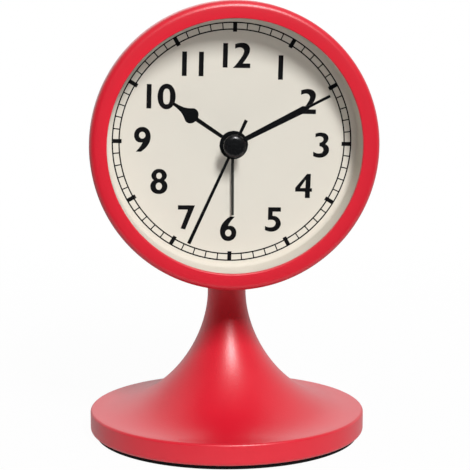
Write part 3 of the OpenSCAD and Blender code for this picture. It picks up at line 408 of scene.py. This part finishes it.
def face_weighted(thing):
    """Shades a bevelled piece so that the flats beside its rounded edges stay flat."""
    bm = bmesh.new()
    bm.from_mesh(thing.data)
    bm.normal_update()
    areas = [face.calc_area() for face in bm.faces]
    normals = []
    for face in bm.faces:
        for loop in face.loops:
            near = [f for f in loop.vert.link_faces if f.normal.dot(face.normal) > SAME_BEND]
            normals.append(sum((f.normal * areas[f.index] for f in near), Vector()).normalized())
    bm.free()
    thing.data.normals_split_custom_set(normals)


def broadened(bm, share):
    """A hand's arms made wider or narrower across their length, with the hub left as it is."""
    flat = [Vector((v.co.x, v.co.z - HEAD_Z)) for v in bm.verts]
    reach = max(p.length for p in flat)
    tip = [p for p in flat if p.length > TIP_SHARE * reach]
    along = sum(tip, Vector((0, 0))).normalized()
    across = Vector((-along.y, along.x))
    for vert, p in zip(bm.verts, flat):
        if abs(p.dot(along)) > HUB_REACH:
            step = across * p.dot(across) * (share - 1)
            vert.co += Vector((step.x, 0, step.y))
    return bm


def dress(node, material):
    """Gives a CAD node that keeps its shape a material."""
    mesh = frame["nodes"][node].data
    mesh.materials.clear()
    mesh.materials.append(material)


# Numeral outlines in millimetres, 8.4 mm high about their middle; a third value marks a corner
BAR = [[(-0.77, 4.14, 1), (0.77, 4.14, 1), (0.77, -4.14, 1), (-0.77, -4.14, 1)]]
SIX = [[(0.45, 4.2, 1), (-0.8, 3.2), (-2.0, 1.75), (-2.65, 0.2), (-2.8, -1.15), (-2.4, -2.75),
        (-1.4, -3.9), (0.0, -4.3), (1.4, -3.95), (2.45, -2.9), (2.8, -1.45), (2.45, -0.1), (1.6, 0.75),
        (0.6, 1.0), (-0.2, 0.95, 1), (0.55, 2.35), (2.05, 4.2, 1)],
       [(0.05, -0.2), (1.25, -1.5), (0.05, -2.8), (-1.15, -1.5)]]
GLYPHS = {
    "0": [[(0.0, 4.3), (3.05, 0.0), (0.0, -4.3), (-3.05, 0.0)],
          [(0.0, 2.9), (1.25, 0.0), (0.0, -2.9), (-1.25, 0.0)]],
    "1": BAR,
    "2": [[(-2.45, 3.9, 1), (-1.2, 4.25), (0.3, 4.35), (1.65, 3.9), (2.45, 2.95), (2.6, 2.05), (2.35, 0.85),
           (1.75, -0.35), (0.9, -1.7), (0.15, -2.75, 1), (2.8, -2.75, 1), (2.8, -4.2, 1), (-2.95, -4.2, 1),
           (-1.9, -3.0), (-0.9, -1.7), (0.0, -0.3), (0.5, 0.7), (0.7, 1.5), (0.45, 2.25), (-0.35, 2.8),
           (-1.4, 2.8), (-2.45, 2.45, 1)]],
    "3": [[(-2.1, 4.05, 1), (-0.9, 4.35), (0.2, 4.35), (1.6, 3.9), (2.35, 2.7), (2.1, 1.4), (1.3, 0.45, 1),
           (2.3, -0.35), (2.7, -1.6), (2.25, -3.0), (1.1, -3.95), (-0.4, -4.3), (-1.7, -4.15),
           (-2.7, -3.8, 1), (-2.7, -2.35, 1), (-1.6, -2.85), (-0.4, -2.9), (0.5, -2.5), (0.85, -1.65),
           (0.5, -0.75), (-0.6, -0.25, 1), (-0.6, 0.8, 1), (0.35, 1.2), (0.75, 2.05), (0.45, 2.8),
           (-0.4, 3.15), (-1.2, 3.15), (-2.1, 2.85, 1)]],
    "4": [[(1.1, 4.2, 1), (2.35, 4.2, 1), (2.3, -0.85, 1), (2.9, -0.85, 1), (2.9, -1.95, 1),
           (2.2, -1.95, 1), (2.2, -4.2, 1), (0.6, -4.2, 1), (0.6, -1.95, 1), (-2.9, -1.95, 1),
           (-2.9, -0.7, 1)],
          [(-1.4, -0.8, 1), (0.7, -0.8, 1), (0.7, 2.35, 1)]],
    "5": [[(-1.7, 4.2, 1), (2.65, 4.2, 1), (2.65, 2.8, 1), (-0.25, 2.8, 1), (-0.25, 1.2, 1), (0.9, 1.05),
           (2.0, 0.3), (2.75, -1.3), (2.4, -2.75), (1.3, -3.85), (-0.3, -4.3), (-1.6, -4.15),
           (-2.65, -3.8, 1), (-2.65, -2.45, 1), (-1.6, -2.85), (-0.6, -2.9), (0.5, -2.5), (1.05, -1.5),
           (0.8, -0.65), (0.05, -0.15), (-0.8, -0.1), (-1.7, -0.15, 1)]],
    "6": SIX,
    "7": [[(-2.9, 4.2, 1), (2.9, 4.2, 1), (-0.3, -4.2, 1), (-1.8, -3.85, 1), (0.65, 2.8, 1),
           (-2.9, 2.8, 1)]],
    "8": [[(0.0, 4.35), (1.6, 3.85), (2.6, 2.2), (2.3, 1.1), (1.75, 0.45, 1), (2.5, -0.3), (2.9, -1.65),
           (2.4, -3.2), (1.3, -4.05), (0.0, -4.3), (-1.3, -4.05), (-2.4, -3.2), (-2.9, -1.65),
           (-2.5, -0.3), (-1.75, 0.45, 1), (-2.3, 1.1), (-2.6, 2.2), (-1.6, 3.85)],
          [(0.0, 3.2), (1.05, 2.0), (0.0, 0.8), (-1.05, 2.0)],
          [(0.0, -0.25), (1.15, -1.65), (0.0, -3.05), (-1.15, -1.65)]],
    "9": [[(-p[0], -p[1]) + tuple(p[2:]) for p in ring] for ring in SIX],
}
# Keeps a sharp corner from running out into a spike
MITRE_LIMIT = 0.3
# Numerals as (text, x, y) of their middle on the dial in millimetres, and the shifts of a pair's signs
NUMERALS = [("1", 16.20, 26.39), ("2", 26.08, 14.69), ("3", 31.23, -0.45), ("4", 25.49, -14.82),
            ("5", 15.02, -26.73), ("6", -0.59, -30.17), ("7", -15.39, -26.31), ("8", -25.10, -13.81),
            ("9", -31.12, 0.78), ("10", -24.88, 15.75), ("11", -14.08, 27.14), ("12", 0.82, 30.25)]
PAIR_SHIFTS = {"10": (-4.2, 1.85), "11": (-3.05, 2.75), "12": (-3.9, 1.9)}


def heavier(ring, grow):
    """A numeral's ring with each side moved outwards and its corners mitred, in millimetres."""
    area = sum(a[0] * b[1] - b[0] * a[1] for a, b in zip(ring, ring[1:] + ring[:1]))
    out = []
    for before, point, after in zip(ring[-1:] + ring[:-1], ring, ring[1:] + ring[:1]):
        here = Vector(point[:2])
        sides = [(here - Vector(before[:2])).normalized(), (Vector(after[:2]) - here).normalized()]
        first, second = [Vector((-s.y, s.x)) if area < 0 else Vector((s.y, -s.x)) for s in sides]
        moved = here + (first + second) * grow / max(MITRE_LIMIT, 1 + first.dot(second))
        out.append((moved.x, moved.y) + tuple(point[2:]))
    return out


def glyph_mesh(rings, weight, depth):
    """A numeral's outline as a filled flat curve, made a mesh."""
    curve = bpy.data.curves.new("numeral", "CURVE")
    curve.dimensions = "2D"
    curve.fill_mode = "BOTH"
    curve.extrude = depth / 2
    curve.resolution_u = 8
    for index, outline in enumerate(rings):
        ring = heavier(outline, -weight / MM if index else weight / MM)
        spline = curve.splines.new("BEZIER")
        spline.bezier_points.add(len(ring) - 1)
        spline.use_cyclic_u = True
        for point, p in zip(spline.bezier_points, ring):
            point.co = (p[0] * MM, p[1] * MM, 0)
            kind = "VECTOR" if len(p) > 2 else "AUTO"
            point.handle_left_type = kind
            point.handle_right_type = kind
    holder = bpy.data.objects.new("numeral", curve)
    bpy.context.scene.collection.objects.link(holder)
    bpy.context.view_layer.update()
    graph = bpy.context.evaluated_depsgraph_get()
    mesh = bpy.data.meshes.new_from_object(holder.evaluated_get(graph))
    bpy.data.objects.remove(holder)
    bpy.data.curves.remove(curve)
    return mesh


def print_place(sizes):
    """Places the dial's flat print: x right and y up on the dial, rolled with it."""
    face = DIAL_BACK + sizes.dial_sheet
    return (Matrix.Translation((0, -face, HEAD_Z)) @ Matrix.Rotation(math.radians(90), 4, "X")
            @ Matrix.Rotation(-sizes.dial_roll, 4, "Z"))


class CLOCK_OT_pedestal(bpy.types.Operator):
    """Trumpet stem and disc base in red lacquer, on a rubber pad"""
    bl_idname = "clock.pedestal"
    bl_label = "Pedestal"

    def execute(self, context):
        sizes, finish = context.scene.clock_sizes, context.scene.clock_finishes
        flare_r = RIM_R - sizes.rim_edge
        power = sizes.flare_power
        steps = 72
        crowding = 1.6
        curve = []
        for i in range(steps + 1):
            t = 1 - (i / steps) ** crowding
            swell = 1 - (1 - t ** power) ** (1 / power)
            curve.append((sizes.neck_r + (flare_r - sizes.neck_r) * swell,
                          sizes.flare_top - t * (sizes.flare_top - sizes.rim_top)))
        under = arc((RIM_R - sizes.rim_under, PAD_T + sizes.rim_under), sizes.rim_under, -90, 0, 10)
        top = arc((RIM_R - sizes.rim_round, sizes.rim_top - sizes.rim_round), sizes.rim_round, 0, 90, 8)
        # The neck ends inside the bowl's wall, which slopes up towards the back
        overlap = 0.15 * MM
        neck_top = HEAD_Z - case_radius(sizes, -sizes.neck_r) + overlap
        points = [(0.0, PAD_T)] + under + top + curve + [(sizes.neck_r, neck_top), (0.0, neck_top)]
        red = bpy.data.materials["red_satin_lacquer"]
        piece("pedestal_shell", spun_stand(points, sizes.turns), red, "case", ["pedestal"])
        piece("foot_pad_sheet", softened("foot_pad", 0.25 * MM), foot_rubber(finish), "case",
              ["foot_pad"])
        return {"FINISHED"}


class CLOCK_OT_case(bpy.types.Operator):
    """Bezel and bowl of the head in red lacquer"""
    bl_idname = "clock.case"
    bl_label = "Bezel and bowl"

    def execute(self, context):
        sizes = context.scene.clock_sizes
        red = bpy.data.materials["red_satin_lacquer"]
        sight = HEAD_R - sizes.ring_width
        lens_front = LIP_FRONT - sizes.lip_thickness
        fall = 0.05 * MM
        seam = 0.4 * MM
        slack = 0.1 * MM
        lip = arc((sight + sizes.lip_round, LIP_FRONT - sizes.lip_round), sizes.lip_round, 180, 90, 6)
        edge = arc((HEAD_R - sizes.ring_round, LIP_FRONT - fall - sizes.ring_round), sizes.ring_round,
                   90, 0, 12)
        widest = LIP_FRONT - sizes.draw_start
        part_r = case_radius(sizes, BEZEL_BACK)
        back = arc((part_r - seam, BEZEL_BACK + seam), seam, 0, -90, 5)
        inner = LENS_R + slack
        side = skin(sizes, widest, BEZEL_BACK + seam, 16)[:-1]
        points = [(sight, lens_front)] + lip + edge + side + back + [(inner, BEZEL_BACK), (inner, lens_front)]
        piece("bezel_ring", spun_head(points, sizes.turns), red, "case", ["bezel"])

        start = arc((part_r - seam, BEZEL_BACK - seam), seam, 90, 0, 5)
        rim = 0.5 * MM
        wall = skin(sizes, BEZEL_BACK - seam, BOWL_BACK + rim, 32)
        tail = arc((wall[-1][0] - rim, BOWL_BACK + rim), rim, 0, -90, 5)
        seat = HEAD_R - sizes.case_draw - sizes.wall
        ledge = 1.8 * MM
        shelf = seat - 2.5 * MM
        inside = [(r - sizes.wall, h) for r, h in skin(sizes, BOWL_BACK + 2 * ledge, BEZEL_BACK - ledge, 24)]
        points = start + wall[1:-1] + tail + [
            (seat, BOWL_BACK), (seat, BOWL_BACK + ledge), (shelf, BOWL_BACK + ledge),
            (shelf, BOWL_BACK + 2 * ledge)] + inside + [
            (inner - ledge, BEZEL_BACK - ledge), (inner - ledge, BEZEL_BACK)]
        piece("bowl_shell", spun_head(points, sizes.turns), red, "case", ["case_bowl"])
        return {"FINISHED"}


class CLOCK_OT_lens(bpy.types.Operator):
    """Domed acrylic lens behind the lip"""
    bl_idname = "clock.lens"
    bl_label = "Lens"

    def execute(self, context):
        sizes = context.scene.clock_sizes
        sight = HEAD_R - sizes.ring_width
        front = LIP_FRONT - sizes.lip_thickness
        back = front - sizes.lens_wall
        radius = (sight ** 2 + sizes.lens_rise ** 2) / (2 * sizes.lens_rise)
        half = math.degrees(math.asin(sight / radius))
        inner = arc((0, back + sizes.lens_rise - radius), radius, 90, 90 - half, 40)
        outer = arc((0, front + sizes.lens_rise - radius), radius, 90 - half, 90, 40)
        points = inner + [(LENS_R, back), (LENS_R, front)] + outer
        piece("lens_dome", spun_head(points, sizes.turns), clear_acrylic(), "case", ["lens"])
        return {"FINISHED"}


class CLOCK_OT_dial(bpy.types.Operator):
    """Cream dial with an upturned wall, its minute track and its numerals"""
    bl_idname = "clock.dial"
    bl_label = "Dial and print"

    def execute(self, context):
        sizes, finish = context.scene.clock_sizes, context.scene.clock_finishes
        sight = HEAD_R - sizes.ring_width
        flat = sight - sizes.dial_slope
        face = DIAL_BACK + sizes.dial_sheet
        brim = LIP_FRONT - sizes.lip_thickness - sizes.lens_wall
        hole = 4.1 * MM
        steep = 74
        lap = sight + 0.6 * MM
        turn = arc((flat, face + sizes.dial_fillet), sizes.dial_fillet, -90, steep - 90, 12)
        under = arc((flat, face + sizes.dial_fillet), sizes.dial_fillet + sizes.dial_sheet,
                    steep - 90, -90, 12)
        points = [(hole, DIAL_BACK), (hole, face)] + turn + [
            (lap, brim), (LENS_R, brim), (LENS_R, brim - sizes.dial_sheet),
            (lap + sizes.dial_sheet, brim - sizes.dial_sheet)] + under
        cream = cream_paint("cream_matt_paint", finish.cream)
        plate = piece("dial_plate", spun_head(points, sizes.turns), cream, "case", ["dial"])
        # The upturned wall gets its own copy of the cream, toned for how brightly it is lit: painted shade,
        # not a different paint
        plate.data.materials.append(cream_paint("cream_wall_painted_shade", finish.wall_shade_cream))
        for facet in plate.data.polygons:
            if math.hypot(facet.center.x, facet.center.z - HEAD_Z) > flat:
                facet.material_index = 1

        ink = dial_ink(finish)
        place = print_place(sizes)
        low, high = -0.005 * MM, sizes.ink
        proud = 0.001 * MM
        bm = bmesh.new()
        for radius in (sizes.track_outer, sizes.track_inner):
            half = sizes.track_line / 2
            corners = [bm.verts.new((radius + dr, 0, h)) for dr, h in
                       ((-half, low), (half, low), (half, high), (-half, high))]
            edges = [bm.edges.new((a, b)) for a, b in zip(corners, corners[1:] + corners[:1])]
            bmesh.ops.spin(bm, geom=corners + edges, cent=(0, 0, 0), axis=(0, 0, 1), angle=2 * math.pi,
                           steps=240, use_merge=True)
        for minute in range(60):
            whole = minute % 5 == 0
            inner = sizes.track_outer - sizes.hour_tick if whole else sizes.track_inner
            width = sizes.hour_tick_w if whole else sizes.minute_tick_w
            outer = sizes.track_outer + (sizes.track_line / 2 if whole else 0)
            spot = (Matrix.Rotation(-math.radians(6 * minute), 4, "Z")
                    @ Matrix.Translation((0, (inner + outer) / 2, (low + high) / 2 + proud))
                    @ Matrix.Diagonal((width, outer - inner, high - low, 1)))
            bmesh.ops.create_cube(bm, size=1, matrix=spot)
        middle = Matrix.Translation((sizes.track_right, sizes.track_up, 0))
        bmesh.ops.transform(bm, matrix=place @ middle, verts=bm.verts[:])
        bmesh.ops.recalc_face_normals(bm, faces=bm.faces[:])
        piece("minute_track", bm, ink, "case")

        bm = bmesh.new()
        for text, x, y in NUMERALS:
            for sign, shift in zip(text, PAIR_SHIFTS.get(text, (0.0,))):
                mesh = glyph_mesh(GLYPHS[sign], sizes.stroke, high - low)
                mesh.transform(place @ Matrix.Translation(((x + shift) * MM, y * MM, (high + low) / 2)))
                bm.from_mesh(mesh)
                bpy.data.meshes.remove(mesh)
        bmesh.ops.remove_doubles(bm, verts=bm.verts[:], dist=0.001 * MM)
        bmesh.ops.recalc_face_normals(bm, faces=bm.faces[:])
        piece("dial_numerals", bm, ink, "case")
        return {"FINISHED"}


class CLOCK_OT_hands(bpy.types.Operator):
    """Four pressed hands and the bevelled centre cap"""
    bl_idname = "clock.hands"
    bl_label = "Hands"

    def execute(self, context):
        sizes, finish = context.scene.clock_sizes, context.scene.clock_finishes
        black = hand_lacquer("black_hand_lacquer", finish.hand_black, (0.42, 0.5), 0.1)
        grey = hand_lacquer("grey_hand_lacquer", finish.alarm_grey, (0.45, 0.55), 0.1)
        for node, body, material, slot, share in (
                ("hour_hand", "hour_work", black, "black_hand", 1.2),
                ("minute_hand", "minute_work", black, "black_hand", 1.1),
                ("second_hand", "second_work", black, "black_hand", 1.25),
                ("alarm_hand", "alarm_work", grey, "grey_hand", 0.85)):
            arms = broadened(softened(node, 0.1 * MM), share)
            pressed = piece(node + "_pressed", arms, material, body, [node])
            face_weighted(pressed)
            # The soft light leaves hardly any shadow of the raised hands, only of the low one
            pressed.visible_shadow = node == "alarm_hand"

        low, high = -CAP_HIGH.y, -CAP_LOW.y
        radius = (CAP_HIGH.x - CAP_LOW.x) / 2
        edge = 0.3 * MM
        foot = 0.2 * MM
        turn, gentle, steep = 45, 8, 48
        around = 96
        bevel = arc((radius - edge, high - sizes.cap_drop - edge), edge, 0, turn, 4)
        swell = sizes.cap_bevel / (math.sin(math.radians(steep)) - math.sin(math.radians(gentle)))
        outside = radius - edge * (1 - math.cos(math.radians(turn)))
        crown = arc((outside - swell * math.sin(math.radians(steep)),
                     high - swell * math.cos(math.radians(gentle))), swell, 90 - steep, 90 - gentle, 12)
        points = [(0.0, low), (radius - foot, low), (radius, low + foot)] + bevel + crown + [(0.0, high)]
        cap = hand_lacquer("black_cap_plastic", finish.hand_black, (0.24, 0.3), 0.4)
        piece("centre_cap_dome", spun_head(points, around), cap, "second_work", ["hand_cap"])
        return {"FINISHED"}


class CLOCK_OT_back(bpy.types.Operator):
    """Back cover with its screws, setting knobs, alarm switch and battery door"""
    bl_idname = "clock.back"
    bl_label = "Back"

    def execute(self, context):
        finish = context.scene.clock_finishes
        coarse = moulded_plastic("black_grained_abs", finish.back_black, (0.5, 0.62), 0.35 * MM)
        smooth = moulded_plastic("black_smooth_abs", finish.back_black, (0.38, 0.46), 0.2 * MM)
        white = moulded_plastic("white_acetal", finish.switch_white, (0.35, 0.45), 0.4 * MM)
        steel = turned_metal("plated_steel", "b9bbbd", (0.22, 0.34))
        for node, body, material, slot, edge in (
                ("back_cover", "case", coarse, "black_plastic", 0.3 * MM),
                ("battery_door", "battery_door", coarse, "black_plastic", 0.25 * MM),
                ("time_set_knob", "time_setting", smooth, "black_plastic", 0.2 * MM),
                ("alarm_set_knob", "alarm_setting", smooth, "black_plastic", 0.2 * MM),
                ("alarm_switch", "alarm_switch", white, "white_plastic", 0.25 * MM),
                ("back_cover_screws", "case", steel, "steel", 0.12 * MM)):
            face_weighted(piece(node + "_finished", softened(node, edge), material, body, [node]))
        return {"FINISHED"}


class CLOCK_OT_movement(bpy.types.Operator):
    """Finishes of the movement, the battery and the weights inside"""
    bl_idname = "clock.movement"
    bl_label = "Movement"

    def execute(self, context):
        white = bpy.data.materials["white_acetal"]
        black = bpy.data.materials["black_smooth_abs"]
        steel = bpy.data.materials["plated_steel"]
        brass = turned_metal("turned_brass", "c9a24b", (0.24, 0.34))
        iron = turned_metal("cast_iron", "5b5d60", (0.6, 0.75))
        board = moulded_plastic("solder_mask", linear("2a6a40"), (0.35, 0.45), 0.5 * MM)
        jacket = moulded_plastic("cell_jacket_film", linear("2f6186"), (0.22, 0.3), 1.5 * MM)
        finishes = {"white_plastic": white, "black_plastic": black, "steel": steel, "brass": brass,
                    "ballast_iron": iron, "board": board, "cell_jacket": jacket,
                    "copper_wire": wound_copper()}
        for part in frame["record"]["subparts"]:
            if part["material_slot"] in finishes:
                dress(part["node"], finishes[part["material_slot"]])
        return {"FINISHED"}


# The fitted camera, and the small lamp that sits at it
PICTURE_PIXELS = 470
SENSOR = 36.0
FOCAL_PIXELS = 1966.052
EYE = Vector((-67.063 * MM, -693.742 * MM, 196.819 * MM))
LOOK_DOWN = math.radians(10.057)
LOOK_RIGHT = math.radians(5.77)
SNOOT_POWER = 4.33
SNOOT_ANGLE = math.radians(7.66)


def hang(scene, lamp, spot, target):
    """Hangs a lamp at a place and aims it at a target."""
    holder = bpy.data.objects.new(lamp.name, lamp)
    holder.location = spot
    holder.rotation_euler = (target - spot).to_track_quat("-Z", "Y").to_euler()
    scene.collection.objects.link(holder)
    return holder


class CLOCK_OT_stage(bpy.types.Operator):
    """White floor, white surround, soft studio lamps and the camera"""
    bl_idname = "clock.stage"
    bl_label = "Stage"

    def execute(self, context):
        scene = context.scene
        scene.view_settings.view_transform = "Standard"
        camera = bpy.data.cameras.new("camera")
        camera.sensor_width = SENSOR
        camera.lens = SENSOR * FOCAL_PIXELS / PICTURE_PIXELS
        camera.clip_start = 0.01
        eye = bpy.data.objects.new("camera", camera)
        eye.location = EYE
        eye.rotation_euler = (math.radians(90) - LOOK_DOWN, 0, -LOOK_RIGHT)
        scene.collection.objects.link(eye)
        scene.camera = eye

        # The floor stops short in front, so that the lens has no bright floor to mirror
        set_back = 0.46
        gap = 0.05 * MM
        bm = bmesh.new()
        bmesh.ops.create_grid(bm, x_segments=1, y_segments=1, size=0.6,
                              matrix=Matrix.Translation((0, set_back, -gap)))
        mesh = bpy.data.meshes.new("floor")
        bm.to_mesh(mesh)
        bm.free()
        mesh.materials.append(white_floor())
        floor = bpy.data.objects.new("floor", mesh)
        scene.collection.objects.link(floor)
        scene.world = white_room()

        middle = Vector((0, 0, 90 * MM))
        for name, spot, wide, tall, power in (
                ("key", (0.259, -1.216, 1.097), 0.26, 0.48, 25.6),
                ("high", (0.08, -0.45, 1.2), 0.5, 0.5, 0.8),
                ("back", (0.0, 1.1, 0.55), 0.9, 0.5, 1.0)):
            lamp = bpy.data.lights.new(name, "AREA")
            lamp.shape = "RECTANGLE"
            lamp.size = wide
            lamp.size_y = tall
            lamp.energy = power
            hang(scene, lamp, Vector(spot), middle)
        # A snooted lamp at the camera opens the shade under the lip and stays off the stand
        snoot = bpy.data.lights.new("snoot", "SPOT")
        snoot.energy = SNOOT_POWER
        snoot.spot_size = SNOOT_ANGLE
        snoot.spot_blend = 0.1
        snoot.shadow_soft_size = 0.005
        hang(scene, snoot, EYE, Vector((0, -DIAL_BACK, HEAD_Z))).visible_glossy = False
        return {"FINISHED"}


class CLOCK_OT_lacquer(bpy.types.Operator):
    """Mixes the red lacquer that the stand and the head share"""
    bl_idname = "clock.lacquer"
    bl_label = "Red lacquer"

    def execute(self, context):
        red_lacquer(context.scene.clock_finishes)
        return {"FINISHED"}


class CLOCK_PT_panel(bpy.types.Panel):
    """Lists the clock's pieces and their sizes and colours"""
    bl_label = "Pedestal alarm clock"
    bl_idname = "CLOCK_PT_panel"
    bl_space_type = "VIEW_3D"
    bl_region_type = "UI"
    bl_category = "Clock"

    def draw(self, context):
        for kind in STEPS:
            self.layout.operator(kind.bl_idname)
        for group in (context.scene.clock_sizes, context.scene.clock_finishes):
            box = self.layout.box()
            for key in group.bl_rna.properties.keys():
                if key not in ("rna_type", "name"):
                    box.prop(group, key)


STEPS = (CLOCK_OT_lacquer, CLOCK_OT_pedestal, CLOCK_OT_case, CLOCK_OT_lens, CLOCK_OT_dial, CLOCK_OT_hands,
         CLOCK_OT_back, CLOCK_OT_movement, CLOCK_OT_stage)
CLASSES = (ClockSizes, ClockFinishes) + STEPS + (CLOCK_PT_panel,)


def register():
    """Adds the clock's classes and its two groups of settings."""
    for kind in CLASSES:
        bpy.utils.register_class(kind)
    bpy.types.Scene.clock_sizes = PointerProperty(type=ClockSizes)
    bpy.types.Scene.clock_finishes = PointerProperty(type=ClockFinishes)


def unregister():
    """Takes the settings and the classes away again."""
    del bpy.types.Scene.clock_finishes
    del bpy.types.Scene.clock_sizes
    for kind in reversed(CLASSES):
        bpy.utils.unregister_class(kind)


def main():
    """Runs every step in order."""
    register()
    bpy.ops.clock.lacquer()
    bpy.ops.clock.pedestal()
    bpy.ops.clock.case()
    bpy.ops.clock.lens()
    bpy.ops.clock.dial()
    bpy.ops.clock.hands()
    bpy.ops.clock.back()
    bpy.ops.clock.movement()
    bpy.ops.clock.stage()


if __name__ == "__main__":
    main()
